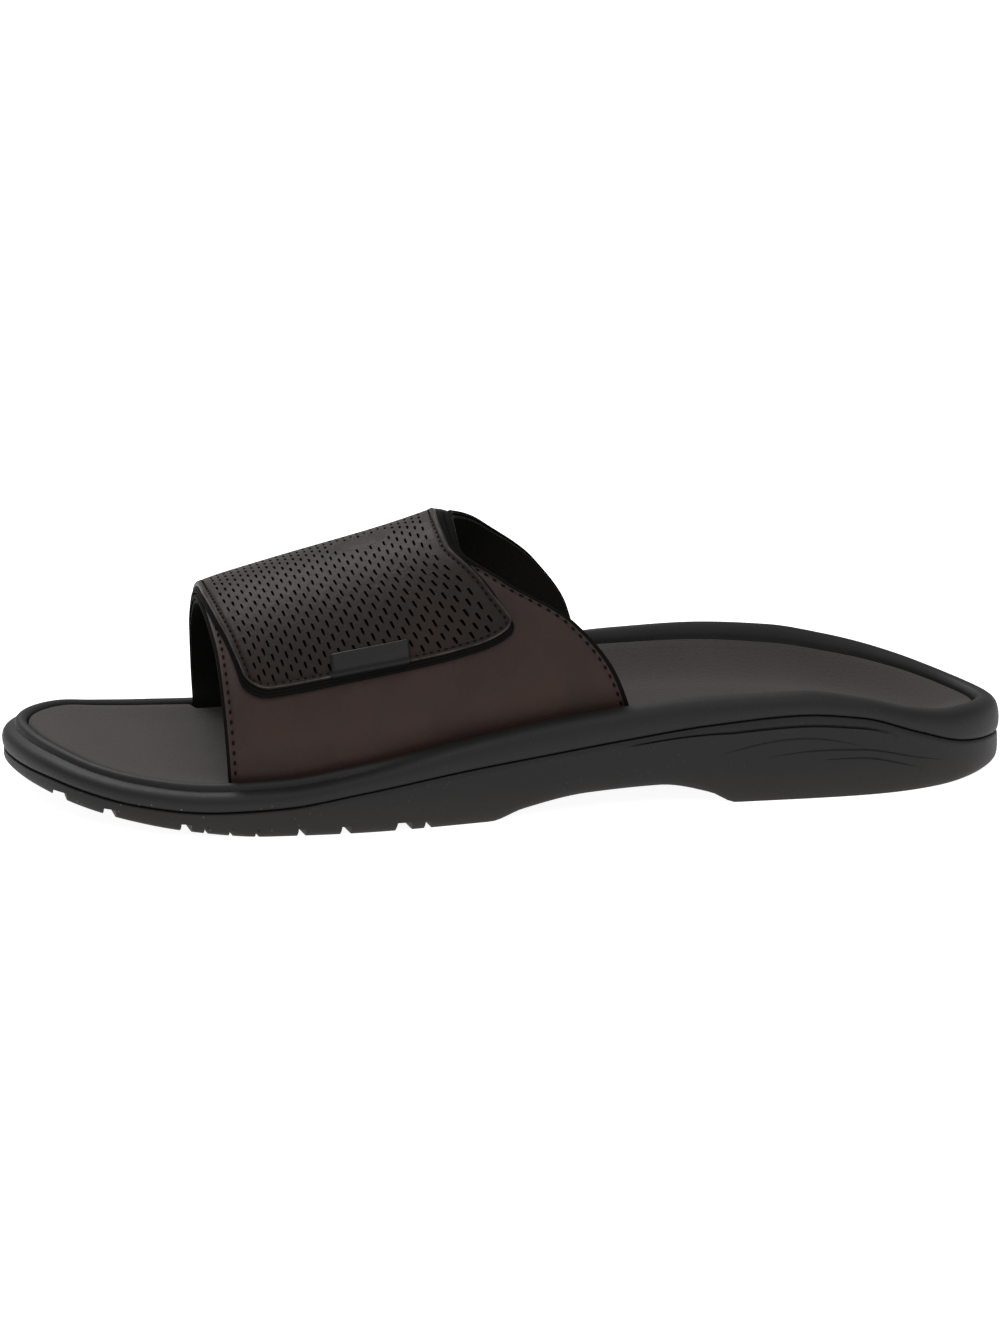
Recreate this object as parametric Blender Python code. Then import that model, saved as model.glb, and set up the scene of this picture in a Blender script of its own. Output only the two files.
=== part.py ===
"""Left slide sandal: outsole, midsole tray, drop-in footbed, strap upper, closure flap and pull tab.

Metres, +Z up. The toe points along -X, the lateral (outer) side faces -Y, the medial side +Y.
The origin is on the floor at the middle of the sole's outline, and the sandal stands on z = 0.
"""

import math

import bmesh
import bpy
import numpy as np
from mathutils import Vector

# Overall sizes
LENGTH = 0.290
BALL_WIDTH = 0.106
RIM_HEIGHT = 0.0373
STRAP_HEIGHT = 0.079

# Walls and thicknesses
FOOTBED_THICKNESS = 0.0035
UPPER_WALL = 0.0026
FLAP_THICKNESS = 0.0030
TAB_THICKNESS = 0.0010

# Fits between neighbouring pieces
CLEARANCE = 0.0003
SEAT_CLEARANCE = 0.0005
FLAP_CLEARANCE = 0.0004

# Sole side: how far each feature lies inside the outline
PARTING_INSET = 0.0012
PARTING_LAND_INSET = 0.0034
BEAD_INSET = 0.0056
RECESS_INSET = 0.0075
TREAD_EDGE_INSET = 0.0022
SHELF_INSET = 0.0095
SLOPE_INSET = 0.0135
CUP_INSET = 0.0190
DISH_REACH = 0.0170
RECESS_EDGE_DROP = 0.0008
RECESS_SHOULDER_DROP = 0.00016
FOOTBED_ROUND = 0.0006

# Tread
GROOVE_DEPTH = 0.0025
GROOVE_WIDTH = 0.0026
GROOVE_BOW = 0.007
SIPE_LENGTH = 0.009
HEEL_GROOVE_LENGTH = 0.044
CUTTER_OVERRUN = 0.004

# Strap and flap edges
EDGE_ROUND = 0.0008
TAB_LENGTH = 0.0205
TAB_REACH = 0.0072
TAB_FOOT = 0.0009
TAB_POSITION = 0.443
FLAP_SEAM_TURN = 0.52
FLAP_FRONT_CORNER = 0.10
FLAP_REAR_CORNER = 0.20
FLAP_CORNER_RISE = 0.085
FLAP_TIP_TURN = -0.628
SLOT_TOP_TURN = 0.6

# Mesh resolution
RING_POINTS = 76
OUTLINE_SAMPLES = 24
CAP_CUTS = 3
LEG_SIDE_STEPS = 6
LEG_ARC_STEPS = 24
STRAP_TURNS = 44
STRAP_COLUMNS = 12
FLAP_ROWS = 26
FLAP_ROW_SPREAD = 1.15
GROOVE_STEPS = 10
SIPE_STEPS = 2
HEEL_GROOVE_STEPS = 6
TAB_STEPS = 5

# Share of the way from the toe to the heel tip over which lateral heights turn into medial ones
TIP_BLEND = 0.16

# Steps for measuring the strap's slopes, along x and in turn
NORMAL_STEP_X = 0.0005
NORMAL_STEP_TURN = 0.01

# Outline of the sole: along is the share of LENGTH from the toe, across the share of BALL_WIDTH
# from the middle, negative on the lateral side. The first row is the toe tip and HEEL_TIP_ROW the heel.
OUTLINE = (
    # along, across
    (0.000, 0.070),
    (0.011, -0.070),
    (0.036, -0.205),
    (0.074, -0.325),
    (0.125, -0.420),
    (0.190, -0.480),
    (0.270, -0.500),
    (0.350, -0.496),
    (0.450, -0.452),
    (0.550, -0.400),
    (0.660, -0.356),
    (0.780, -0.340),
    (0.870, -0.314),
    (0.940, -0.234),
    (0.985, -0.110),
    (1.000, 0.010),
    (0.985, 0.126),
    (0.940, 0.240),
    (0.870, 0.310),
    (0.780, 0.322),
    (0.660, 0.310),
    (0.560, 0.334),
    (0.450, 0.404),
    (0.350, 0.468),
    (0.270, 0.500),
    (0.190, 0.491),
    (0.125, 0.452),
    (0.072, 0.384),
    (0.034, 0.296),
    (0.009, 0.186),
)
HEEL_TIP_ROW = 15

# Underside: heights as shares of RIM_HEIGHT
TREAD = (
    # along, lateral, medial
    (0.000, 0.250, 0.250),
    (0.035, 0.208, 0.208),
    (0.070, 0.156, 0.156),
    (0.120, 0.098, 0.098),
    (0.180, 0.042, 0.042),
    (0.255, 0.000, 0.000),
    (0.472, 0.000, 0.000),
    (0.505, 0.078, 0.110),
    (0.570, 0.158, 0.250),
    (0.640, 0.172, 0.290),
    (0.690, 0.090, 0.150),
    (0.716, 0.000, 0.000),
    (0.930, 0.000, 0.000),
    (1.000, 0.025, 0.025),
)

# Sole side: heights as shares of RIM_HEIGHT. Parting is the line between outsole and midsole, lip the
# step from the rim down to the footbed, dish the footbed's hollow and floor the tray's floor thickness.
SIDE = (
    # along, parting lateral, parting medial, rim lateral, rim medial, lip, dish, floor
    (0.000, 0.340, 0.340, 0.571, 0.571, 0.027, 0.013, 0.090),
    (0.040, 0.326, 0.326, 0.530, 0.530, 0.027, 0.016, 0.070),
    (0.080, 0.280, 0.280, 0.470, 0.465, 0.027, 0.024, 0.055),
    (0.130, 0.225, 0.225, 0.422, 0.415, 0.027, 0.032, 0.050),
    (0.200, 0.192, 0.192, 0.392, 0.385, 0.027, 0.040, 0.048),
    (0.270, 0.215, 0.215, 0.415, 0.405, 0.030, 0.050, 0.048),
    (0.350, 0.308, 0.308, 0.506, 0.540, 0.040, 0.080, 0.055),
    (0.440, 0.408, 0.415, 0.622, 0.715, 0.060, 0.130, 0.070),
    (0.540, 0.492, 0.520, 0.735, 0.890, 0.080, 0.180, 0.080),
    (0.620, 0.560, 0.600, 0.795, 0.975, 0.090, 0.205, 0.080),
    (0.690, 0.620, 0.650, 0.830, 1.000, 0.100, 0.215, 0.080),
    (0.780, 0.665, 0.665, 0.838, 0.950, 0.110, 0.220, 0.080),
    (0.840, 0.618, 0.618, 0.767, 0.857, 0.100, 0.210, 0.080),
    (0.900, 0.461, 0.461, 0.640, 0.747, 0.080, 0.180, 0.075),
    (0.950, 0.322, 0.322, 0.552, 0.655, 0.060, 0.120, 0.075),
    (1.000, 0.250, 0.250, 0.535, 0.535, 0.045, 0.060, 0.075),
)

# Midsole side from the parting line up to the bead: inset as a share of BEAD_INSET, height as a share
# of the wall
MIDSOLE_WALL = (
    # inset, height
    (0.054, 0.080),
    (0.000, 0.300),
    (0.143, 0.580),
    (0.429, 0.820),
    (0.643, 0.880),
    (0.786, 0.965),
)

# Outsole side from the tread's edge up to the parting line: inset as a share of PARTING_INSET, height
# as a share of the side
OUTSOLE_WALL = (
    # inset, height
    (0.50, 0.20),
    (0.25, 0.60),
    (0.42, 0.90),
)

# Forefoot grooves: place at the lateral edge, width as a share of GROOVE_WIDTH and whether the groove
# crosses the whole sole or is a short cut in from each edge
GROOVES = (
    # along, width, crosses
    (0.0750, 1.15, True),
    (0.1160, 1.04, True),
    (0.1820, 1.00, True),
    (0.2000, 0.40, False),
    (0.2230, 0.40, False),
    (0.2475, 0.40, False),
    (0.2895, 0.77, True),
    (0.3320, 0.96, True),
    (0.3895, 1.54, True),
    (0.4140, 0.70, False),
)
HEEL_GROOVES = (0.765, 0.815, 0.865)

# Strap arch: heights as shares of STRAP_HEIGHT, ridge position and bulges as shares of BALL_WIDTH.
# Widest is the height above the rim where a leg bulges most, roundness the exponent of its shoulder.
STRAP = (
    # along, ridge, ridge across, widest, bulge lateral, bulge medial, round lateral, round medial
    (0.170, 0.674, -0.020, 0.100, 0.004, 0.028, 1.76, 2.15),
    (0.290, 0.801, -0.020, 0.100, 0.004, 0.032, 1.73, 2.15),
    (0.400, 0.911, -0.020, 0.100, 0.004, 0.032, 1.70, 2.30),
    (0.430, 0.952, -0.020, 0.100, 0.004, 0.032, 1.70, 2.30),
    (0.454, 1.002, -0.020, 0.100, 0.004, 0.032, 1.68, 2.35),
    (0.600, 1.160, -0.020, 0.100, 0.004, 0.032, 1.66, 2.55),
)

# Edges of strap and flap: turn runs from -1 at the lateral foot over 0 at the ridge to 1 at the medial
# foot, and the columns are shares of LENGTH from the toe.
EDGES = (
    # turn, strap front, strap rear, flap front, flap rear
    (-1.00, 0.2205, 0.6190, 0.2700, 0.5700),
    (-0.80, 0.2185, 0.5995, 0.2490, 0.5355),
    (-0.60, 0.2155, 0.5610, 0.2400, 0.5045),
    (-0.40, 0.2115, 0.4950, 0.2270, 0.4745),
    (-0.20, 0.2045, 0.4520, 0.2125, 0.4455),
    (0.00, 0.1985, 0.4480, 0.2030, 0.4400),
    (0.20, 0.1948, 0.4540, 0.1989, 0.4420),
    (0.40, 0.1912, 0.4880, 0.1952, 0.4670),
    (0.60, 0.1891, 0.5400, 0.1931, 0.5205),
    (0.80, 0.1894, 0.5735, 0.1934, 0.5540),
    (1.00, 0.1910, 0.5850, 0.1950, 0.5650),
)

# Columns across the flap from its front to its rear edge, closer together at its rounded corners
FLAP_SHARES = (0.0, 0.02, 0.055, 0.10, 0.22, 0.36, 0.50, 0.64, 0.78, 0.87, 0.93, 0.972, 1.0)

# Finishes: base colour, roughness
FINISHES = {
    "outsole": ((0.022, 0.022, 0.023), 0.62),
    "midsole": ((0.020, 0.020, 0.021), 0.55),
    "footbed": ((0.070, 0.062, 0.055), 0.70),
    "upper": ((0.040, 0.026, 0.023), 0.52),
    "closure_flap": ((0.048, 0.036, 0.031), 0.50),
    "pull_tab": ((0.012, 0.012, 0.013), 0.40),
}


def column(table, name_index):
    return np.array([row[name_index] for row in table])


def smooth_value(table, name_index, along):
    """Value of a table's column at a share along, on a curve that never overshoots its rows."""
    xs = column(table, 0)
    ys = column(table, name_index)
    steps = np.diff(xs)
    slopes = np.diff(ys) / steps
    tangents = np.zeros(len(xs))
    for i in range(1, len(xs) - 1):
        if slopes[i - 1] * slopes[i] > 0:
            before = 2 * steps[i] + steps[i - 1]
            after = steps[i] + 2 * steps[i - 1]
            tangents[i] = (before + after) / (before / slopes[i - 1] + after / slopes[i])
    tangents[0] = slopes[0]
    tangents[-1] = slopes[-1]
    along = min(max(along, xs[0]), xs[-1])
    i = min(max(int(np.searchsorted(xs, along)) - 1, 0), len(xs) - 2)
    t = (along - xs[i]) / steps[i]
    return (
        ys[i] * (1 + 2 * t) * (1 - t) ** 2
        + steps[i] * tangents[i] * t * (1 - t) ** 2
        + ys[i + 1] * t * t * (3 - 2 * t)
        + steps[i] * tangents[i + 1] * t * t * (t - 1)
    )


def closed_spline(points, samples_per_span):
    """Smooth closed curve through the points: a cubic with continuous curvature."""
    points = np.array(points, dtype=float)
    count = len(points)
    spans = np.linalg.norm(np.roll(points, -1, axis=0) - points, axis=1)
    matrix = np.zeros((count, count))
    right = np.zeros((count, 2))
    for i in range(count):
        before = spans[i - 1]
        after = spans[i]
        matrix[i, i - 1] = 1 / before
        matrix[i, i] = 2 / before + 2 / after
        matrix[i, (i + 1) % count] = 1 / after
        right[i] = 3 * (
            (points[i] - points[i - 1]) / before ** 2 + (points[(i + 1) % count] - points[i]) / after ** 2
        )
    tangents = np.linalg.solve(matrix, right)
    curve = []
    for i in range(count):
        j = (i + 1) % count
        for k in range(samples_per_span):
            t = k / samples_per_span
            curve.append(
                points[i] * (1 + 2 * t) * (1 - t) ** 2
                + spans[i] * tangents[i] * t * (1 - t) ** 2
                + points[j] * t * t * (3 - 2 * t)
                + spans[i] * tangents[j] * t * t * (t - 1)
            )
    return np.array(curve)


def resample(polyline, count):
    """Points at equal steps of arc length along an open polyline, both ends included."""
    lengths = np.concatenate(([0.0], np.cumsum(np.linalg.norm(np.diff(polyline, axis=0), axis=1))))
    targets = np.linspace(0, lengths[-1], count)
    return np.stack([np.interp(targets, lengths, polyline[:, k]) for k in range(polyline.shape[1])], axis=1)


def sole_outline():
    """RING_POINTS points and inward normals: toe tip, lateral side, heel tip, medial side."""
    dense = closed_spline(OUTLINE, OUTLINE_SAMPLES)
    low = dense.min(axis=0)
    high = dense.max(axis=0)
    dense = ((dense - low) / (high - low) - 0.5) * np.array([LENGTH, BALL_WIDTH])
    heel = HEEL_TIP_ROW * OUTLINE_SAMPLES
    half = RING_POINTS // 2
    lateral = resample(dense[: heel + 1], half + 1)
    medial = resample(np.vstack((dense[heel:], dense[:1])), half + 1)
    ring = np.vstack((lateral[:-1], medial[:-1]))
    tangents = np.roll(ring, -1, axis=0) - np.roll(ring, 1, axis=0)
    normals = np.stack((-tangents[:, 1], tangents[:, 0]), axis=1)
    normals /= np.linalg.norm(normals, axis=1)[:, None]
    return ring, normals


RING, RING_NORMALS = sole_outline()
HALF = RING_POINTS // 2


def ring_at(inset):
    return RING + RING_NORMALS * inset


def share_along(x):
    return x / LENGTH + 0.5


def medial_weight(index):
    """0 on the lateral side, 1 on the medial side, blending round the toe and heel tips."""
    place = (index % HALF) / HALF
    near_tip = min(1.0, min(place, 1 - place) / TIP_BLEND)
    ease = near_tip * near_tip * (3 - 2 * near_tip)
    if index < HALF:
        return 0.5 - 0.5 * ease
    return 0.5 + 0.5 * ease


def side_heights(table, lateral_index, medial_index):
    """Height of a line of the sole at each ring point."""
    heights = []
    for i in range(RING_POINTS):
        along = share_along(RING[i, 0])
        weight = medial_weight(i)
        lateral = smooth_value(table, lateral_index, along)
        medial = smooth_value(table, medial_index, along)
        heights.append(RIM_HEIGHT * (lateral * (1 - weight) + medial * weight))
    return np.array(heights)


def ring_column(index):
    return RIM_HEIGHT * np.array([smooth_value(SIDE, index, share_along(x)) for x in RING[:, 0]])


TREAD_Z = side_heights(TREAD, 1, 2)
PARTING_Z = side_heights(SIDE, 1, 2)
RIM_Z = side_heights(SIDE, 3, 4)
LIP = ring_column(5)
DISH = ring_column(6)
FLOOR = ring_column(7)


def dish_share(inset):
    """How much of the footbed's hollow is reached at a distance inside the outline."""
    reach = min(max((inset - RECESS_INSET) / DISH_REACH, 0.0), 1.0)
    return math.sin(0.5 * math.pi * reach)


def footbed_heights(inset):
    return RIM_Z - LIP - DISH * dish_share(inset)


def floor_heights(inset):
    return footbed_heights(inset) - FOOTBED_THICKNESS - CLEARANCE


def underfloor_heights(inset):
    return floor_heights(inset) - FLOOR


def ring_points(inset, heights):
    flat = ring_at(inset)
    return [Vector((flat[i, 0], flat[i, 1], heights[i])) for i in range(RING_POINTS)]


def start_loop(mesh, points):
    """Closed chain of edges through the points."""
    verts = [mesh.verts.new(point) for point in points]
    for i in range(len(verts)):
        mesh.edges.new((verts[i], verts[(i + 1) % len(verts)]))
    return verts


def extrude_loop(mesh, loop, points):
    """Extrudes a closed chain of edges and moves the new chain to the points."""
    edges = []
    for i in range(len(loop)):
        edges.append(mesh.edges.get((loop[i], loop[(i + 1) % len(loop)])))
    made = bmesh.ops.extrude_edge_only(mesh, edges=edges)["geom"]
    new_verts = {item for item in made if isinstance(item, bmesh.types.BMVert)}
    following = []
    for vert in loop:
        for edge in vert.link_edges:
            other = edge.other_vert(vert)
            if other in new_verts:
                following.append(other)
                break
    for vert, point in zip(following, points):
        vert.co = point
    return following


def cap_sole_ring(mesh, loop, sag):
    """Closes a ring of the sole with rows from the lateral to the medial side, sagging in the middle."""
    count = len(loop)
    before = [loop[0]] * (CAP_CUTS + 2)
    for i in range(1, count // 2):
        lateral = loop[i]
        medial = loop[count - i]
        row = [lateral]
        for k in range(1, CAP_CUTS + 1):
            share = k / (CAP_CUTS + 1)
            place = lateral.co.lerp(medial.co, share)
            place.z -= sag[i] * math.sin(math.pi * share)
            row.append(mesh.verts.new(place))
        row.append(medial)
        join_rows(mesh, before, row)
        before = row
    join_rows(mesh, before, [loop[count // 2]] * (CAP_CUTS + 2))


def join_rows(mesh, first, second):
    """Faces between two rows of vertices, as triangles where one row is a single point."""
    for k in range(len(first) - 1):
        corners = dict.fromkeys((first[k], first[k + 1], second[k + 1], second[k]))
        mesh.faces.new(list(corners))


def rings_to_mesh(rings, top_sag, bottom_sag):
    """Closed body through the rings, first ring at the bottom, with both ends capped."""
    mesh = bmesh.new()
    first = start_loop(mesh, rings[0])
    loop = first
    for points in rings[1:]:
        loop = extrude_loop(mesh, loop, points)
    cap_sole_ring(mesh, loop, top_sag)
    cap_sole_ring(mesh, first, bottom_sag)
    bmesh.ops.triangulate(mesh, faces=mesh.faces, quad_method="SHORT_EDGE")
    bmesh.ops.recalc_face_normals(mesh, faces=mesh.faces)
    return mesh


def finish_object(name, mesh, smooth_angle=40.0):
    """Object with its own material, shaded smooth between sharp edges."""
    data = bpy.data.meshes.new(name)
    mesh.to_mesh(data)
    mesh.free()
    data.shade_smooth()
    data.set_sharp_from_angle(angle=math.radians(smooth_angle))
    item = bpy.data.objects.new(name, data)
    bpy.context.collection.objects.link(item)
    if name in FINISHES:
        colour, roughness = FINISHES[name]
        material = bpy.data.materials.new(name)
        material.use_nodes = True
        shader = material.node_tree.nodes["Principled BSDF"]
        shader.inputs["Base Color"].default_value = (*colour, 1.0)
        shader.inputs["Roughness"].default_value = roughness
        shader.inputs["Metallic"].default_value = 0.0
        data.materials.append(material)
    return item


def mark_cutter(item):
    item.hide_render = True
    item.display_type = "WIRE"


def cut(item, cutter):
    mark_cutter(cutter)
    modifier = item.modifiers.new("cut", "BOOLEAN")
    modifier.operation = "DIFFERENCE"
    modifier.object = cutter


def make_midsole():
    """Tray: underside, side wall, bead rim, recess wall and floor."""
    wall = RIM_Z - PARTING_Z
    underside = PARTING_Z + CLEARANCE
    rings = [
        ring_points(CUP_INSET, underfloor_heights(CUP_INSET) + CLEARANCE),
        ring_points(SLOPE_INSET, underfloor_heights(SLOPE_INSET) + CLEARANCE),
        ring_points(SHELF_INSET, underfloor_heights(SHELF_INSET) + CLEARANCE),
        ring_points(PARTING_LAND_INSET, underside),
        ring_points(PARTING_INSET, underside),
    ]
    for inset, share in MIDSOLE_WALL:
        rings.append(ring_points(BEAD_INSET * inset, underside + (wall - CLEARANCE) * share))
    bead_shoulder = 0.5 * (BEAD_INSET + RECESS_INSET)
    rings.append(ring_points(BEAD_INSET, RIM_Z))
    rings.append(ring_points(bead_shoulder, RIM_Z - RECESS_SHOULDER_DROP))
    rings.append(ring_points(RECESS_INSET - CLEARANCE, RIM_Z - RECESS_EDGE_DROP))
    rings.append(ring_points(RECESS_INSET, floor_heights(RECESS_INSET)))
    rings.append(ring_points(SLOPE_INSET, floor_heights(SLOPE_INSET)))
    rings.append(ring_points(CUP_INSET, floor_heights(CUP_INSET)))
    sag = DISH * (1 - dish_share(CUP_INSET))
    return finish_object("midsole", rings_to_mesh(rings, sag, sag))


def make_outsole():
    """Rubber bottom: tread, side and the cup that the midsole sits in."""
    height = PARTING_Z - TREAD_Z
    rings = [ring_points(TREAD_EDGE_INSET, TREAD_Z)]
    for inset, share in OUTSOLE_WALL:
        rings.append(ring_points(PARTING_INSET * inset, TREAD_Z + height * share))
    rings.append(ring_points(PARTING_INSET, PARTING_Z))
    rings.append(ring_points(PARTING_LAND_INSET, PARTING_Z))
    rings.append(ring_points(SHELF_INSET, underfloor_heights(SHELF_INSET)))
    rings.append(ring_points(SLOPE_INSET, underfloor_heights(SLOPE_INSET)))
    rings.append(ring_points(CUP_INSET, underfloor_heights(CUP_INSET)))
    sag = DISH * (1 - dish_share(CUP_INSET))
    flat = np.zeros(RING_POINTS)
    outsole = finish_object("outsole", rings_to_mesh(rings, sag, flat))
    cutter = finish_object("tread_cutter", tread_cutter_mesh(), 30.0)
    cut(outsole, cutter)
    return outsole


def tread_height(x):
    return RIM_HEIGHT * smooth_value(TREAD, 1, share_along(x))


def add_channel(mesh, path, width):
    """Box-section channel along a path of (x, y) points, as deep as a groove."""
    loop = None
    first = None
    for x, y in path:
        bottom = tread_height(x) - CUTTER_OVERRUN
        top = tread_height(x) + GROOVE_DEPTH
        points = (
            Vector((x - width / 2, y, bottom)),
            Vector((x + width / 2, y, bottom)),
            Vector((x + width / 2, y, top)),
            Vector((x - width / 2, y, top)),
        )
        if loop is None:
            loop = start_loop(mesh, points)
            first = loop
        else:
            loop = extrude_loop(mesh, loop, points)
    bmesh.ops.contextual_create(mesh, geom=first)
    bmesh.ops.contextual_create(mesh, geom=loop)


def bowed_path(along, start, end, steps):
    """Path across the sole from y = start to end, bowed towards the toe in the middle."""
    half = BALL_WIDTH / 2
    path = []
    for k in range(steps + 1):
        y = start + (end - start) * k / steps
        bow = GROOVE_BOW * (1 - (y / half) ** 2)
        path.append((LENGTH * (along - 0.5) - bow, y))
    return path


def tread_cutter_mesh():
    mesh = bmesh.new()
    beyond = BALL_WIDTH / 2 + CUTTER_OVERRUN
    for along, width_share, crosses in GROOVES:
        width = GROOVE_WIDTH * width_share
        if crosses:
            add_channel(mesh, bowed_path(along, -beyond, beyond, GROOVE_STEPS), width)
            continue
        x = LENGTH * (along - 0.5)
        lateral_end = side_edge(x, SIPE_LENGTH, -1)
        medial_end = side_edge(x, SIPE_LENGTH, 1)
        add_channel(mesh, bowed_path(along, -beyond, lateral_end, SIPE_STEPS), width)
        add_channel(mesh, bowed_path(along, medial_end, beyond, SIPE_STEPS), width)
    for along in HEEL_GROOVES:
        half = HEEL_GROOVE_LENGTH / 2
        add_channel(mesh, bowed_path(along, -half, half, HEEL_GROOVE_STEPS), GROOVE_WIDTH)
    bmesh.ops.recalc_face_normals(mesh, faces=mesh.faces)
    return mesh


def side_edge(x, inset, side):
    """Y of the inset outline at x, on the lateral side (-1) or the medial side (1)."""
    ring = ring_at(inset)
    if side < 0:
        points = ring[: HALF + 1]
    else:
        points = np.vstack((ring[HALF:], ring[:1]))[::-1]
    order = np.argsort(points[:, 0])
    return float(np.interp(x, points[order, 0], points[order, 1]))


def rim_height(x, side):
    return RIM_HEIGHT * smooth_value(SIDE, 3 if side < 0 else 4, share_along(x))


def make_footbed():
    """Insole that drops into the tray, notched where the strap's legs go down."""
    inset = RECESS_INSET + CLEARANCE
    rings = [
        ring_points(CUP_INSET, footbed_heights(CUP_INSET) - FOOTBED_THICKNESS),
        ring_points(SLOPE_INSET, footbed_heights(SLOPE_INSET) - FOOTBED_THICKNESS),
        ring_points(inset, footbed_heights(inset) - FOOTBED_THICKNESS),
        ring_points(inset, footbed_heights(inset) - FOOTBED_ROUND),
        ring_points(inset + FOOTBED_ROUND, footbed_heights(inset + FOOTBED_ROUND)),
        ring_points(SLOPE_INSET, footbed_heights(SLOPE_INSET)),
        ring_points(CUP_INSET, footbed_heights(CUP_INSET)),
    ]
    sag = DISH * (1 - dish_share(CUP_INSET))
    footbed = finish_object("footbed", rings_to_mesh(rings, sag, sag))
    for side in (-1, 1):
        cut(footbed, finish_object("strap_slot_cutter", slot_cutter_mesh(side)))
    return footbed


def strap_leg(x, side):
    """Lateral or medial half of the strap's outer section at x, from its foot up to the ridge."""
    along = share_along(x)
    ridge_z = STRAP_HEIGHT * smooth_value(STRAP, 1, along)
    ridge_y = BALL_WIDTH * smooth_value(STRAP, 2, along)
    widest = STRAP_HEIGHT * smooth_value(STRAP, 3, along)
    bulge = BALL_WIDTH * smooth_value(STRAP, 4 if side < 0 else 5, along)
    roundness = smooth_value(STRAP, 6 if side < 0 else 7, along)
    base_y = side_edge(x, RECESS_INSET + SEAT_CLEARANCE, side)
    rim_z = rim_height(x, side)
    lip = RIM_HEIGHT * smooth_value(SIDE, 5, along)
    foot_z = rim_z - lip - FOOTBED_THICKNESS
    widest_z = rim_z + widest
    widest_y = base_y + side * bulge
    points = [(base_y, foot_z), (base_y, rim_z)]
    for k in range(1, LEG_SIDE_STEPS):
        t = k / LEG_SIDE_STEPS
        points.append((base_y + side * bulge * (1 - (1 - t) ** 2), rim_z + widest * t))
    for k in range(LEG_ARC_STEPS + 1):
        angle = 0.5 * math.pi * k / LEG_ARC_STEPS
        y = ridge_y + (widest_y - ridge_y) * math.cos(angle) ** (2 / roundness)
        z = widest_z + (ridge_z - widest_z) * math.sin(angle) ** (2 / roundness)
        points.append((y, z))
    return np.array(points)


def strap_surface(x, turn):
    """Point on the strap's outer face: turn -1 is the lateral foot, 0 the ridge, 1 the medial foot."""
    side = -1 if turn < 0 else 1
    leg = strap_leg(x, side)
    lengths = np.concatenate(([0.0], np.cumsum(np.linalg.norm(np.diff(leg, axis=0), axis=1))))
    place = (1 - abs(turn)) * lengths[-1]
    return np.array([x, np.interp(place, lengths, leg[:, 0]), np.interp(place, lengths, leg[:, 1])])


def strap_normal(x, turn):
    """Outward normal of the strap's outer face."""
    low = max(turn - NORMAL_STEP_TURN, -1.0)
    high = min(turn + NORMAL_STEP_TURN, 1.0)
    along_x = strap_surface(x + NORMAL_STEP_X, turn) - strap_surface(x - NORMAL_STEP_X, turn)
    along_turn = strap_surface(x, high) - strap_surface(x, low)
    normal = np.cross(along_x, along_turn)
    return normal / np.linalg.norm(normal)


def strap_point(x, turn, lift):
    """Point a distance outside the strap's outer face."""
    return Vector(strap_surface(x, turn) + strap_normal(x, turn) * lift)


def edge_x(index, turn):
    return LENGTH * (smooth_value(EDGES, index, turn) - 0.5)


def strap_loop(turn, grow=0.0, outside=0.0):
    """Cross-section of the strap at a turn, from its front to its rear edge, grown by a clearance."""
    front = edge_x(1, turn) - grow
    rear = edge_x(2, turn) + grow
    columns = np.linspace(front + EDGE_ROUND, rear - EDGE_ROUND, STRAP_COLUMNS)
    outer = [strap_point(x, turn, grow + outside) for x in columns]
    inner = [strap_point(x, turn, -UPPER_WALL - grow) for x in columns]
    middle = -0.5 * UPPER_WALL
    return outer + [strap_point(rear, turn, middle)] + inner[::-1] + [strap_point(front, turn, middle)]


def close_strap(mesh, first, last):
    """Closes both ends of a strap body and turns its faces outwards."""
    for loop in (first, last):
        outer = loop[:STRAP_COLUMNS]
        rear_nose = loop[STRAP_COLUMNS]
        inner = loop[-2:STRAP_COLUMNS:-1]
        front_nose = loop[-1]
        mesh.faces.new((front_nose, outer[0], inner[0]))
        mesh.faces.new((rear_nose, inner[-1], outer[-1]))
        for i in range(STRAP_COLUMNS - 1):
            mesh.faces.new((outer[i], outer[i + 1], inner[i + 1], inner[i]))
    bmesh.ops.recalc_face_normals(mesh, faces=mesh.faces)


def strap_turns():
    return [-1 + 2 * k / STRAP_TURNS for k in range(STRAP_TURNS + 1)]


def slot_cutter_mesh(side):
    """The strap's leg with its clearance, from under the footbed to above its rim."""
    turns = [turn for turn in strap_turns() if turn * side > SLOT_TOP_TURN]
    turns.sort(key=abs, reverse=True)
    mesh = bmesh.new()
    foot = strap_loop(turns[0], CLEARANCE, CUTTER_OVERRUN)
    first = start_loop(mesh, [point - Vector((0, 0, CUTTER_OVERRUN)) for point in foot])
    loop = first
    for turn in turns:
        loop = extrude_loop(mesh, loop, strap_loop(turn, CLEARANCE, CUTTER_OVERRUN))
    close_strap(mesh, first, loop)
    return mesh


def make_upper():
    """Strap arch: one wall from the lateral seam over the foot to the medial seam."""
    mesh = bmesh.new()
    first = start_loop(mesh, strap_loop(-1.0))
    loop = first
    for turn in strap_turns()[1:]:
        loop = extrude_loop(mesh, loop, strap_loop(turn))
    close_strap(mesh, first, loop)
    return finish_object("upper", mesh)


def flap_tip_turn(share):
    """Turn of the flap's lower edge, from its front corner (0) to its rear corner (1)."""
    turn = FLAP_TIP_TURN
    for distance, corner in ((share, FLAP_FRONT_CORNER), (1 - share, FLAP_REAR_CORNER)):
        if distance < corner:
            reach = 1 - distance / corner
            turn += FLAP_CORNER_RISE * (1 - math.sqrt(1 - reach * reach))
    return turn


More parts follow.
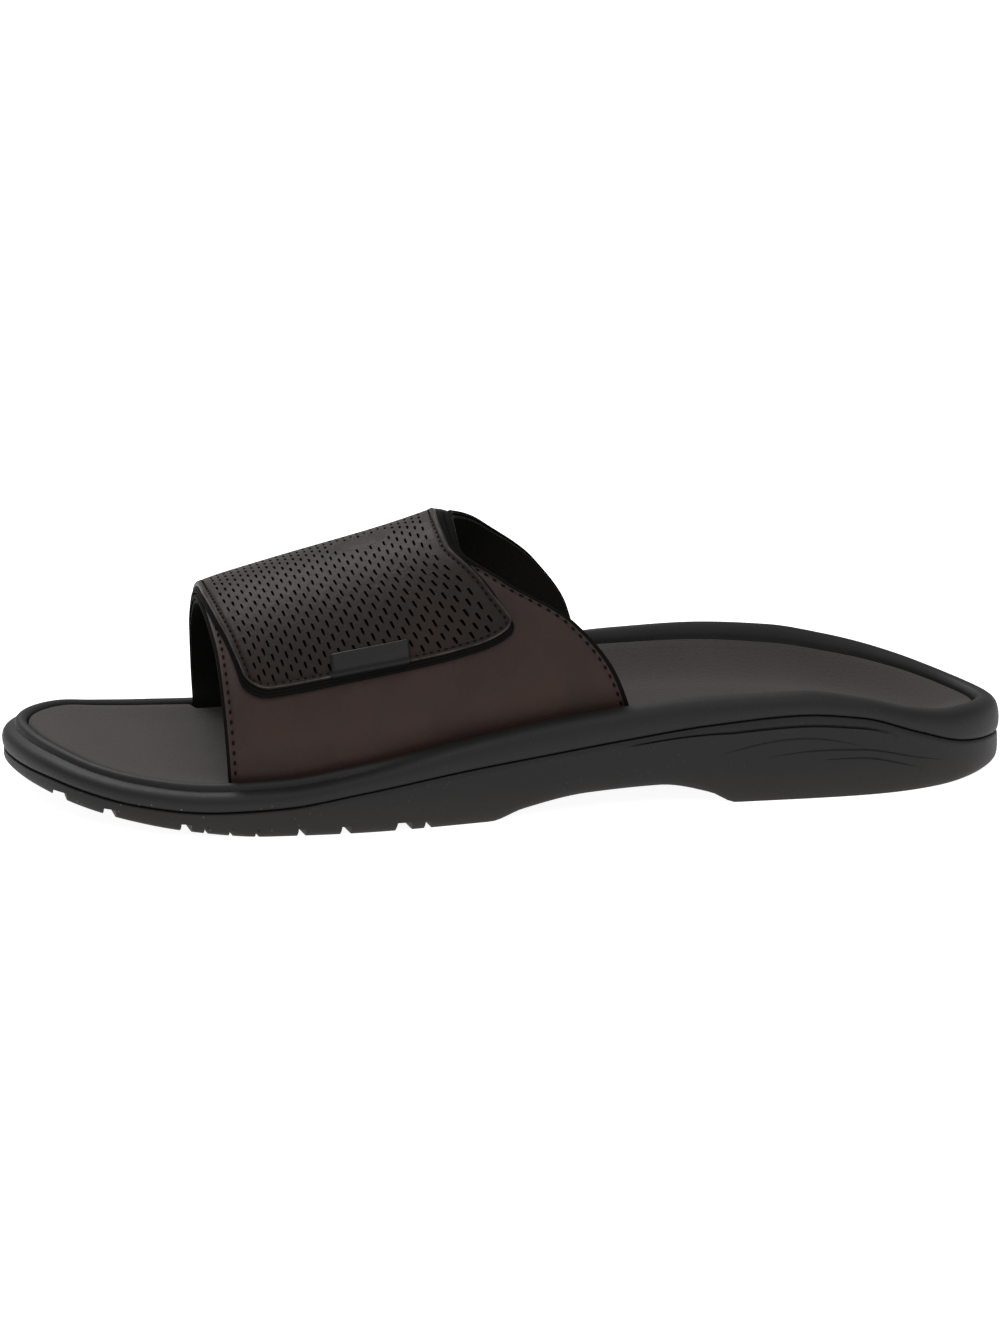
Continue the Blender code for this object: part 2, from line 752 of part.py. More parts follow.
def flap_place(share, row):
    """Place on the flap as (x, turn): share across from front to rear, row from tip (0) to seam (1)."""
    tip = flap_tip_turn(share)
    turn = tip + (FLAP_SEAM_TURN - tip) * row
    front = edge_x(3, turn)
    rear = edge_x(4, turn)
    return front + (rear - front) * share, turn


def flap_loop(row):
    places = [flap_place(share, row) for share in FLAP_SHARES]
    top = FLAP_CLEARANCE + FLAP_THICKNESS
    outer = [strap_point(x, turn, top) for x, turn in places]
    under = [strap_point(x, turn, FLAP_CLEARANCE) for x, turn in places]
    return outer + under[::-1]


def make_closure_flap():
    """Overlay from the medial seam over the ridge to its rounded tip on the lateral side."""
    mesh = bmesh.new()
    rows = [(k / FLAP_ROWS) ** FLAP_ROW_SPREAD for k in range(FLAP_ROWS + 1)]
    loop = start_loop(mesh, flap_loop(rows[0]))
    first = loop
    for row in rows[1:]:
        loop = extrude_loop(mesh, loop, flap_loop(row))
    columns = len(FLAP_SHARES)
    for ends in (first, loop):
        inner = ends[:columns - 1:-1]
        for i in range(columns - 1):
            mesh.faces.new((ends[i], ends[i + 1], inner[i + 1], inner[i]))
    bmesh.ops.recalc_face_normals(mesh, faces=mesh.faces)
    return finish_object("closure_flap", mesh)


def make_pull_tab():
    """Tab lying on the flap just above its lower edge, where its fold is sewn in."""
    half_turn_per_metre = 1 / strap_leg_length(0.0)
    low = FLAP_CLEARANCE + FLAP_THICKNESS + CLEARANCE
    high = low + TAB_THICKNESS
    mesh = bmesh.new()
    loop = None
    first = None
    for k in range(TAB_STEPS + 1):
        share = TAB_POSITION + (k / TAB_STEPS - 0.5) * TAB_LENGTH / flap_width()
        tip = flap_tip_turn(share)
        above = tip + TAB_REACH * half_turn_per_metre
        foot = tip + TAB_FOOT * half_turn_per_metre
        middle = 0.5 * (above + foot)
        x = flap_place(share, 0.0)[0]
        points = (
            strap_point(x, above, low),
            strap_point(x, above, high),
            strap_point(x, middle, high),
            strap_point(x, foot, high),
            strap_point(x, foot, low),
            strap_point(x, middle, low),
        )
        if loop is None:
            loop = start_loop(mesh, points)
            first = loop
        else:
            loop = extrude_loop(mesh, loop, points)
    for ends in (first, loop):
        mesh.faces.new((ends[0], ends[1], ends[2], ends[5]))
        mesh.faces.new((ends[5], ends[2], ends[3], ends[4]))
    bmesh.ops.recalc_face_normals(mesh, faces=mesh.faces)
    return finish_object("pull_tab", mesh)


def strap_leg_length(x):
    leg = strap_leg(x, -1)
    return float(np.sum(np.linalg.norm(np.diff(leg, axis=0), axis=1)))


def flap_width():
    front = flap_place(0.0, 0.0)[0]
    rear = flap_place(1.0, 0.0)[0]
    return rear - front


def clear_scene():
    for item in list(bpy.data.objects):
        bpy.data.objects.remove(item, do_unlink=True)


def main():
    clear_scene()
    make_outsole()
    make_midsole()
    make_footbed()
    make_upper()
    make_closure_flap()
    make_pull_tab()


main()
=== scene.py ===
"""Left slide sandal, dressed: leather strap, perforated closure flap, moulded sole and its stage."""

import math

import bmesh
import bpy
import numpy as np
from mathutils import Matrix, Vector


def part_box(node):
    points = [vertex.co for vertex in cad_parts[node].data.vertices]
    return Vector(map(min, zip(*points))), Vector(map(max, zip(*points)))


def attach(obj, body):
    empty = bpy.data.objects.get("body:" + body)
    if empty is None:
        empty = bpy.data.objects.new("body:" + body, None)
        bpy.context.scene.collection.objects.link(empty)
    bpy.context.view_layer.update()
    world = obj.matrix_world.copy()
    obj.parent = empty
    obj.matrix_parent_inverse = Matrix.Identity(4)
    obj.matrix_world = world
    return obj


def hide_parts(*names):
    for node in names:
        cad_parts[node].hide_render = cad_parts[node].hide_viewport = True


bl_info = {
    "name": "Slide sandal",
    "version": (1, 0, 0),
    "blender": (4, 5, 0),
    "location": "3D View > Sidebar > Sandal",
    "description": "Builds the pieces of a leather slide sandal around its solid model",
    "category": "Object",
}

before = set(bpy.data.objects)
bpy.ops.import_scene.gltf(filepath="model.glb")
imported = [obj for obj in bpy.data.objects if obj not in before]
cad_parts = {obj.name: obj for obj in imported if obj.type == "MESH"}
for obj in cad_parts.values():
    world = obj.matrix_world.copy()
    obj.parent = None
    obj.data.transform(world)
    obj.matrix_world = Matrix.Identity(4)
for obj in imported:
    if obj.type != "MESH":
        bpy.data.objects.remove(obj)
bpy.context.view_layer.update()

# Driving sizes, the sole's read from the frame. The toe points along -X, the lateral side faces -Y.
SOLE_LOW, SOLE_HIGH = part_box("midsole")
LENGTH = SOLE_HIGH[0] - SOLE_LOW[0]
BALL_WIDTH = SOLE_HIGH[1] - SOLE_LOW[1]
RIM_HEIGHT = SOLE_HIGH[2]
STRAP_HEIGHT = 0.079

# Insets from the sole's outline and the pieces' thicknesses
PARTING_INSET = 0.0012
LAND_INSET = 0.0034
BEAD_INSET = 0.0056
RECESS_INSET = 0.0075
SHELF_INSET = 0.0095
DISH_REACH = 0.0170
FOOTBED_THICKNESS = 0.0035
STRAP_WALL = 0.0026
FLAP_WALL = 0.0030
CLEARANCE = 0.0003
SEAT_CLEARANCE = 0.0005
FLAP_CLEARANCE = 0.0004
GROOVE_DEPTH = 0.0025
GROOVE_WIDTH = 0.0026
GROOVE_BOW = 0.007
GROOVE_FLARE = 1.25
SIPE_LENGTH = 0.009
HEEL_GROOVE_LENGTH = 0.044
CUTTER_OVERRUN = 0.004

# Outline of the sole from the toe tip along the lateral side to the heel and back: shares of length
# and of the ball's width
OUTLINE = (
    # along, across
    (0.000, 0.070), (0.011, -0.070), (0.036, -0.205), (0.074, -0.325), (0.125, -0.420),
    (0.190, -0.480), (0.270, -0.500), (0.350, -0.496), (0.450, -0.452), (0.550, -0.400),
    (0.660, -0.356), (0.780, -0.340), (0.870, -0.314), (0.940, -0.234), (0.985, -0.110),
    (1.000, 0.010), (0.985, 0.126), (0.940, 0.240), (0.870, 0.310), (0.780, 0.322),
    (0.660, 0.310), (0.560, 0.334), (0.450, 0.404), (0.350, 0.468), (0.270, 0.500),
    (0.190, 0.491), (0.125, 0.452), (0.072, 0.384), (0.034, 0.296), (0.009, 0.186),
)
HEEL_TIP_ROW = 15

# Underside heights as shares of the rim's height
TREAD = (
    # along, lateral, medial
    (0.000, 0.250, 0.250), (0.035, 0.208, 0.208), (0.070, 0.156, 0.156), (0.120, 0.098, 0.098),
    (0.180, 0.042, 0.042), (0.255, 0.000, 0.000), (0.472, 0.000, 0.000), (0.505, 0.078, 0.110),
    (0.570, 0.158, 0.250), (0.640, 0.172, 0.290), (0.690, 0.090, 0.150), (0.716, 0.000, 0.000),
    (0.930, 0.000, 0.000), (1.000, 0.025, 0.025),
)

# Sole side heights as shares of the rim's height
SIDE = (
    # along, parting lateral, parting medial, rim lateral, rim medial, lip, dish, floor
    (0.000, 0.340, 0.340, 0.571, 0.571, 0.027, 0.013, 0.090),
    (0.040, 0.326, 0.326, 0.530, 0.530, 0.027, 0.016, 0.070),
    (0.080, 0.280, 0.280, 0.470, 0.465, 0.027, 0.024, 0.055),
    (0.130, 0.225, 0.225, 0.422, 0.415, 0.027, 0.032, 0.050),
    (0.200, 0.192, 0.192, 0.392, 0.385, 0.027, 0.040, 0.048),
    (0.270, 0.215, 0.215, 0.415, 0.405, 0.030, 0.050, 0.048),
    (0.350, 0.308, 0.308, 0.506, 0.540, 0.040, 0.080, 0.055),
    (0.440, 0.408, 0.415, 0.622, 0.715, 0.060, 0.130, 0.070),
    (0.540, 0.492, 0.520, 0.735, 0.890, 0.080, 0.180, 0.080),
    (0.620, 0.560, 0.600, 0.795, 0.975, 0.090, 0.205, 0.080),
    (0.690, 0.620, 0.650, 0.830, 1.000, 0.100, 0.215, 0.080),
    (0.780, 0.665, 0.665, 0.838, 0.950, 0.110, 0.220, 0.080),
    (0.840, 0.618, 0.618, 0.767, 0.857, 0.100, 0.210, 0.080),
    (0.900, 0.461, 0.461, 0.640, 0.747, 0.080, 0.180, 0.075),
    (0.950, 0.322, 0.322, 0.552, 0.655, 0.060, 0.120, 0.075),
    (1.000, 0.250, 0.250, 0.535, 0.535, 0.045, 0.060, 0.075),
)

# Strap arch sections
STRAP = (
    # along, ridge, ridge across, widest, bulge lateral, bulge medial, round lateral, round medial
    (0.170, 0.674, -0.020, 0.100, 0.004, 0.028, 1.76, 2.15),
    (0.290, 0.801, -0.020, 0.100, 0.004, 0.032, 1.73, 2.15),
    (0.400, 0.911, -0.020, 0.100, 0.004, 0.032, 1.70, 2.30),
    (0.430, 0.952, -0.020, 0.100, 0.004, 0.032, 1.70, 2.30),
    (0.454, 1.002, -0.020, 0.100, 0.004, 0.032, 1.68, 2.35),
    (0.600, 1.160, -0.020, 0.100, 0.004, 0.032, 1.66, 2.55),
)

# Edges of strap and flap, by turn round the arch: -1 lateral foot, 0 ridge, 1 medial foot
EDGES = (
    # turn, strap front, strap rear, flap front, flap rear
    (-1.00, 0.2205, 0.6190, 0.2700, 0.5700),
    (-0.80, 0.2185, 0.5995, 0.2490, 0.5355),
    (-0.60, 0.2155, 0.5610, 0.2400, 0.5045),
    (-0.40, 0.2115, 0.4950, 0.2270, 0.4745),
    (-0.20, 0.2045, 0.4520, 0.2125, 0.4455),
    (0.00, 0.1985, 0.4480, 0.2030, 0.4400),
    (0.20, 0.1948, 0.4540, 0.1989, 0.4420),
    (0.40, 0.1912, 0.4880, 0.1952, 0.4670),
    (0.60, 0.1891, 0.5400, 0.1931, 0.5205),
    (0.80, 0.1894, 0.5735, 0.1934, 0.5540),
    (1.00, 0.1910, 0.5850, 0.1950, 0.5650),
)
FLAP_SEAM_TURN = 0.52
FLAP_TIP_TURN = -0.628
FLAP_FRONT_CORNER = 0.10
FLAP_REAR_CORNER = 0.20
FLAP_CORNER_RISE = 0.085

# Midsole side from the parting line up into the recess, at the toe with its cove and at the heel
# without: insets as shares of BEAD_INSET, heights as shares of the wall, then a drop as a share of the lip
MIDSOLE_PROFILE = (
    # toe inset, toe height, heel inset, heel height, drop
    (0.130, 0.015, 0.130, 0.015, 0.00), (0.055, 0.070, 0.055, 0.070, 0.00),
    (0.010, 0.190, 0.010, 0.190, 0.00), (0.000, 0.340, 0.000, 0.360, 0.00),
    (0.045, 0.480, 0.020, 0.520, 0.00), (0.150, 0.590, 0.070, 0.660, 0.00),
    (0.330, 0.670, 0.150, 0.780, 0.00), (0.530, 0.705, 0.280, 0.875, 0.00),
    (0.665, 0.740, 0.430, 0.935, 0.00), (0.690, 0.815, 0.580, 0.968, 0.00),
    (0.725, 0.900, 0.700, 0.984, 0.00), (0.820, 0.968, 0.820, 0.994, 0.00),
    (0.940, 0.996, 0.940, 1.000, 0.02), (1.060, 1.000, 1.050, 0.996, 0.14),
    (1.160, 0.990, 1.150, 0.990, 0.36), (1.240, 0.970, 1.240, 0.980, 0.62),
    (1.295, 0.940, 1.295, 0.965, 0.84),
)
COVE_END = 0.30
COVE_FADE = 0.16

# Outsole side from the tread's edge up to the parting line, with the fine line cut under its lip
OUTSOLE_PROFILE = (
    # inset as a share of TREAD_EDGE_INSET, height as a share of the side, share of the lip line's depth
    (0.820, 0.020, 0.0), (0.560, 0.070, 0.0), (0.330, 0.150, 0.0), (0.200, 0.260, 0.0),
    (0.140, 0.450, 0.0), (0.140, 0.650, 0.0), (0.170, 0.800, 0.0), (0.180, 0.866, 0.0),
    (0.180, 0.872, 1.0), (0.190, 0.896, 1.0), (0.190, 0.902, 0.0), (0.240, 0.955, 0.0),
    (0.380, 0.990, 0.0),
)
TREAD_EDGE_INSET = 0.0022
SIDE_FACE_INSET = 0.14 * TREAD_EDGE_INSET
LIP_LINE_DEPTH = 0.0009
LIP_LINE_START = 0.60
LIP_LINE_END = 0.88
LIP_LINE_FADE = 0.04

# Grooves of the tread, and steps along one that crosses, a short one and one of the heel
GROOVE_STEPS = 20
SIPE_STEPS = 3
HEEL_GROOVE_STEPS = 10

# Forefoot grooves: place at the lateral edge, width as a share of GROOVE_WIDTH, crossing or short
GROOVES = (
    # along, width, crosses
    (0.0750, 1.15, True), (0.1160, 1.04, True), (0.1820, 1.00, True), (0.2000, 0.40, False),
    (0.2230, 0.40, False), (0.2475, 0.40, False), (0.2895, 0.77, True), (0.3320, 0.96, True),
    (0.3895, 1.54, True), (0.4140, 0.70, False),
)
HEEL_GROOVES = (0.765, 0.815, 0.865)

# Fine flowing lines cut into the side of the heel: ends along the sole, drops below the parting line at
# start, middle and end as shares of the rim's height
FLOW_LINES = (
    # start, end, drop at start, middle, end
    (0.700, 0.840, 0.235, 0.175, 0.215),
    (0.745, 0.925, 0.300, 0.245, 0.170),
    (0.800, 0.900, 0.345, 0.300, 0.270),
)
FLOW_LINE_RADIUS = 0.00034
FLOW_LINE_TAPER = 0.6
FLOW_LINE_END_SIZE = 0.15
FLOW_LINE_STEPS = 28
FLOW_LINE_SIDES = 6

# Footbed: how far its notches reach past the strap, and the distance in and drop of its rolled edge
FOOTBED_MARGIN = 0.0015
FOOTBED_EDGE = ((0.0000, 0.00110), (0.00012, 0.00060), (0.00040, 0.00022), (0.00080, 0.00004))

# Distances from an edge at which the lines of the leathers' grids lie
EDGE_STEPS = (0.0, 0.00012, 0.00032, 0.0006, 0.0010, 0.0014, 0.0018, 0.0022, 0.0026, 0.0031, 0.0038)
FLAP_EDGE_STEPS = (0.0, 0.00012, 0.00032, 0.0006, 0.0009, 0.0012, 0.0015, 0.0018, 0.0021, 0.0025)
EDGE_NOTE = "edge_distance"

# Strap: size of its grid, its lining, its rounded edge and the widths of its black edges
NOMINAL_STRAP = 0.090
STRAP_ROWS = 252
STRAP_STEP = 0.0018
LINING_STEP = 0.0026
LINING_SETBACK = 0.0002
LINING_GAP = 0.00004
STRAP_EDGE_SHARE = 0.35
STRAP_EDGE_ROUND = 0.0009
CUT_EDGE = 0.0009
REAR_BINDING = 0.0013
RIDGE_BAND = 0.0048
RIDGE_BAND_TURN = 0.52

# Troughs and swells of the worn strap leather, which fade towards its edges
STRAP_CREASES = (
    # along, turn, reach along, reach in turn, height in metres
    (0.300, -0.86, 0.050, 0.060, -0.00045),
    (0.430, -0.84, 0.060, 0.050, 0.00030),
    (0.500, -0.70, 0.030, 0.110, -0.00035),
    (0.560, -0.82, 0.020, 0.080, 0.00030),
    (0.260, -0.72, 0.012, 0.120, -0.00025),
    (0.330, 0.80, 0.060, 0.080, -0.00040),
    (0.480, 0.72, 0.040, 0.090, 0.00030),
)
CREASE_FADE = 0.006

# Flap: size of its grid, the spread of its columns towards the rear and the reach of its tip
NOMINAL_FLAP = 0.072
NOMINAL_FLAP_LENGTH = 0.107
STRAIGHT_FLAP = 0.066
FLAP_SPREAD = 2.2
TIP_REACH = 0.009
FLAP_SWELL = 0.00035
FLAP_SWELL_FADE = 0.008

# Layers of the flap: growth past its outline along the sides and at the tip, steps, and rounded edges
LEATHER_GROWTH = (-0.0004, -0.0012)
BACKING_GROWTH = (0.0006, 0.0006)
PADDING_GROWTH = (0.0001, -0.0003)
BACKING_STEP = 0.0022
BACKING_THICKNESS = 0.0010
PADDING_GAP = 0.00005
FLAP_EDGE_SHARE = 0.30
LEATHER_ROUND = 0.0010
BACKING_ROUND = 0.0006

# Seams: troughs in the leather, and lifts of the threads over its outer face
SEAM_DEPTH = 0.00034
STRAP_SEAM_WIDTH = 0.00055
FLAP_SEAM_WIDTH = 0.00040
STRAP_SEAM_TURN = 0.93
STRAP_SEAM_POINTS = 400
FLAP_SEAM_POINTS = 200
STRAP_SEAM_LIFT = -0.00020
FLAP_SEAM_LIFT = -0.00026

# A stitch's start, middle and end as shares of the pitch, and its height as a share of its width
STITCH_PLACES = (0.26, 0.50, 0.74)
STITCH_HEIGHT = 0.42

# Blank oval on top of the flap: middle as shares of its columns and rows, half sizes in cells, then
# its groove's depth in metres, and the groove's place and width as shares of the half sizes
BLANK_MIDDLE = (0.66, 0.53)
BLANK_HALF = (12.5, 9.5)
BLANK_GROOVE = 0.00032
BLANK_GROOVE_PLACE = 0.74
BLANK_GROOVE_WIDTH = 0.11

# Perforations: cells from one column, and from one row, of the staggered holes to the next
HOLE_COLUMNS = 3
HOLE_ROWS = 4
# Rows of cells that a hole takes, counted from its middle
HOLE_CELLS = (-2, -1, 0, 1)
# A hole's half width and height at each level, in cells
TEARDROP = {2: (0.36, 2.26), 1: (0.68, 1.50), 0: (0.62, 0.15), -1: (0.44, -1.15), -2: (0.18, -2.30)}
# How far its rim stands out and how far apart the rim's levels lie, in cells
HOLE_RIM = 0.13
HOLE_STRETCH = 1.19
# First width of the rim, and the share of the leather left under a hole
HOLE_INSET = 0.04
HOLE_FLOOR = 0.15

# Tab's section on the flap: distance up from the flap's lower edge and lift, in millimetres
TAB_PROFILE = (
    (7.20, 4.05), (7.08, 4.42), (6.50, 4.58), (5.20, 4.60), (4.10, 4.66), (3.10, 4.82), (2.20, 4.84),
    (1.45, 4.60), (0.95, 4.10), (0.72, 3.40), (0.75, 2.70), (1.05, 2.24), (1.45, 2.18), (1.66, 2.60),
    (1.72, 3.20), (2.10, 3.60), (3.20, 3.68), (4.60, 3.68), (6.00, 3.68), (7.00, 3.74),
)
MILLIMETRE = 0.001
TAB_SAMPLES = 6
TAB_LENGTH = 0.0216
TAB_POSITION = 0.443
TAB_STEP = 0.00045
TAB_END_STEPS = (0.0, 0.00008, 0.00025, 0.0005, 0.0009, 0.0014)
TAB_ROUND = 0.0009
TAB_SHRINK = 0.00042
TAB_FACE_LIFT = 0.0042
TAB_RIBS = (0.0046, 0.0054, 0.0062)
TAB_RIB_WIDTH = 0.00028
TAB_RIB_HEIGHT = 0.00008
TAB_RIB_MARGIN = 0.0030
TAB_RIB_FADE = 0.0008

# Angles in degrees over which an edge is shaded sharp
SOFT_ANGLE = 50.0
FINE_ANGLE = 42.0
RUBBER_ANGLE = 32.0

# Dust by the toe: how far ahead of the sole's middle it starts and how high it goes, with its fades,
# and the top of the lighter, browner lower edge, as shares of length and of the rim's height
DUST_START = 0.30
DUST_FADE = 0.12
DUST_TOP = 0.20
DUST_TOP_FADE = 0.10
LOW_EDGE_TOP = 0.30

# Colours laid over the finishes: a light grey on the leather's rolled edge, part wear and part painted
# highlight; a lighter, browner tone low on the outsole; and dust
EDGE_WEAR_AND_HIGHLIGHT = (0.110, 0.104, 0.100)
LOW_EDGE_TONE = (0.020, 0.015, 0.0135)
DUST = (0.16, 0.145, 0.13)

# Stage: the floor's half size, the lights, and what the lights and the camera look at
FLOOR_SIZE = 14.0
KEY_PLACE = Vector((0.12, -0.62, 1.0))
KEY_ANGLE = math.radians(48)
OVERHEAD_PLACE = Vector((-0.28, 0.50, 0.86))
OVERHEAD_SIZE = 0.38
LIGHT_TARGET = Vector((0, 0, 0.03))
CAMERA_TARGET = Vector((-0.0013, 0, 0.030))

# The photograph's frame: pixels across a metre at the sandal, frame height and the sandal's centre row
PIXELS_PER_METRE = 3465
FRAME_HEIGHT = 1333
CENTRE_ROW = 676.5
SENSOR_HEIGHT = 24.0

# Resolution of the forms and of the sole's meshes
RING_POINTS = 360
OUTLINE_SAMPLES = 40
HALF = RING_POINTS // 2
CAP_CUTS = 26
FORM_COLUMNS = 170
FORM_TURNS = 321
LEG_SIDE_STEPS = 8
LEG_ARC_STEPS = 40
TIP_BLEND = 0.16
FORM_MARGIN = 0.004


def hermite(low, high, slope_low, slope_high, t):
    """Cubic between two values with the given slopes, t from 0 to 1."""
    return (
        low * (1 + 2 * t) * (1 - t) ** 2
        + slope_low * t * (1 - t) ** 2
        + high * t * t * (3 - 2 * t)
        + slope_high * t * t * (t - 1)
    )


def ease(value):
    value = np.clip(value, 0.0, 1.0)
    return value * value * (3 - 2 * value)


class Curve:
    """Smooth curve through one column of a table that never overshoots its rows."""

    def __init__(self, table, index):
        self.places = np.array([row[0] for row in table])
        self.values = np.array([row[index] for row in table])
        self.steps = np.diff(self.places)
        slopes = np.diff(self.values) / self.steps
        self.tangents = np.zeros(len(self.places))
        self.tangents[0] = slopes[0]
        self.tangents[-1] = slopes[-1]
        for i in range(1, len(self.places) - 1):
            if slopes[i - 1] * slopes[i] > 0:
                before = 2 * self.steps[i] + self.steps[i - 1]
                after = self.steps[i] + 2 * self.steps[i - 1]
                self.tangents[i] = (before + after) / (before / slopes[i - 1] + after / slopes[i])

    def __call__(self, place):
        place = np.clip(place, self.places[0], self.places[-1])
        i = np.clip(np.searchsorted(self.places, place) - 1, 0, len(self.places) - 2)
        t = (place - self.places[i]) / self.steps[i]
        low_slope = self.steps[i] * self.tangents[i]
        high_slope = self.steps[i] * self.tangents[i + 1]
        return hermite(self.values[i], self.values[i + 1], low_slope, high_slope, t)


def closed_spline(points, samples):
    """Smooth closed curve through the points, with continuous curvature."""
    points = np.array(points, dtype=float)
    count = len(points)
    spans = np.linalg.norm(np.roll(points, -1, axis=0) - points, axis=1)
    matrix = np.zeros((count, count))
    right = np.zeros((count, 2))
    for i in range(count):
        j = (i + 1) % count
        matrix[i, i - 1] = 1 / spans[i - 1]
        matrix[i, i] = 2 / spans[i - 1] + 2 / spans[i]
        matrix[i, j] = 1 / spans[i]
        before = (points[i] - points[i - 1]) / spans[i - 1] ** 2
        after = (points[j] - points[i]) / spans[i] ** 2
        right[i] = 3 * (before + after)
    tangents = np.linalg.solve(matrix, right)
    curve = []
    for i in range(count):
        j = (i + 1) % count
        for k in range(samples):
            low_slope = spans[i] * tangents[i]
            high_slope = spans[i] * tangents[j]
            curve.append(hermite(points[i], points[j], low_slope, high_slope, k / samples))
    return np.array(curve)


def path_lengths(path):
    """Distance along an open polyline at each of its points."""
    return np.concatenate(([0.0], np.cumsum(np.linalg.norm(np.diff(path, axis=0), axis=1))))


def resample(path, count):
    lengths = path_lengths(path)
    targets = np.linspace(0, lengths[-1], count)
    return np.stack([np.interp(targets, lengths, path[:, k]) for k in range(path.shape[1])], axis=1)


class SoleForm:
    """The sole's outline with its inward normals and the height of every line around it."""

    def __init__(self):
        dense = closed_spline(OUTLINE, OUTLINE_SAMPLES)
        low = dense.min(axis=0)
        high = dense.max(axis=0)
        dense = ((dense - low) / (high - low) - 0.5) * np.array([LENGTH, BALL_WIDTH])
        heel = HEEL_TIP_ROW * OUTLINE_SAMPLES
        lateral = resample(dense[: heel + 1], HALF + 1)
        medial = resample(np.vstack((dense[heel:], dense[:1])), HALF + 1)
        self.ring = np.vstack((lateral[:-1], medial[:-1]))
        tangents = np.roll(self.ring, -1, axis=0) - np.roll(self.ring, 1, axis=0)
        normals = np.stack((-tangents[:, 1], tangents[:, 0]), axis=1)
        self.normals = normals / np.linalg.norm(normals, axis=1)[:, None]
        self.along = self.ring[:, 0] / LENGTH + 0.5
        self.medial = self.medial_weights()
        self.tread = self.side_line(TREAD, 1, 2)
        self.parting = self.side_line(SIDE, 1, 2)
        self.rim = self.side_line(SIDE, 3, 4)
        self.lip = RIM_HEIGHT * Curve(SIDE, 5)(self.along)
        self.dish = RIM_HEIGHT * Curve(SIDE, 6)(self.along)
        self.floor = RIM_HEIGHT * Curve(SIDE, 7)(self.along)

    def medial_weights(self):
        """0 on the lateral side and 1 on the medial side, blending round the toe and heel tips."""
        index = np.arange(RING_POINTS)
        place = (index % HALF) / HALF
        nearness = ease(np.minimum(place, 1 - place) / TIP_BLEND)
        return 0.5 + 0.5 * np.where(index < HALF, -nearness, nearness)

    def side_line(self, table, lateral_index, medial_index):
        lateral = Curve(table, lateral_index)(self.along)
        medial = Curve(table, medial_index)(self.along)
        return RIM_HEIGHT * (lateral * (1 - self.medial) + medial * self.medial)

    def inset(self, distance):
        return self.ring + self.normals * np.reshape(distance, (-1, 1))

    def points(self, distance, heights):
        """Ring of points at a distance inside the outline."""
        return np.column_stack((self.inset(np.broadcast_to(distance, RING_POINTS)), heights))

    def bed(self, distance):
        """Height of the footbed's top on the ring at a distance inside the outline."""
        reach = np.clip((distance - RECESS_INSET) / DISH_REACH, 0, 1)
        return self.rim - self.lip - self.dish * np.sin(0.5 * np.pi * reach)

    def side_at(self, x, side, distance):
        """Y of the inset outline at x, on the lateral side (-1) or the medial side (1)."""
        ring = self.inset(np.full(RING_POINTS, distance))
        chosen = ring[: HALF + 1] if side < 0 else np.vstack((ring[HALF:], ring[:1]))
        order = np.argsort(chosen[:, 0])
        return np.interp(x, chosen[order, 0], chosen[order, 1])


SOLE = SoleForm()


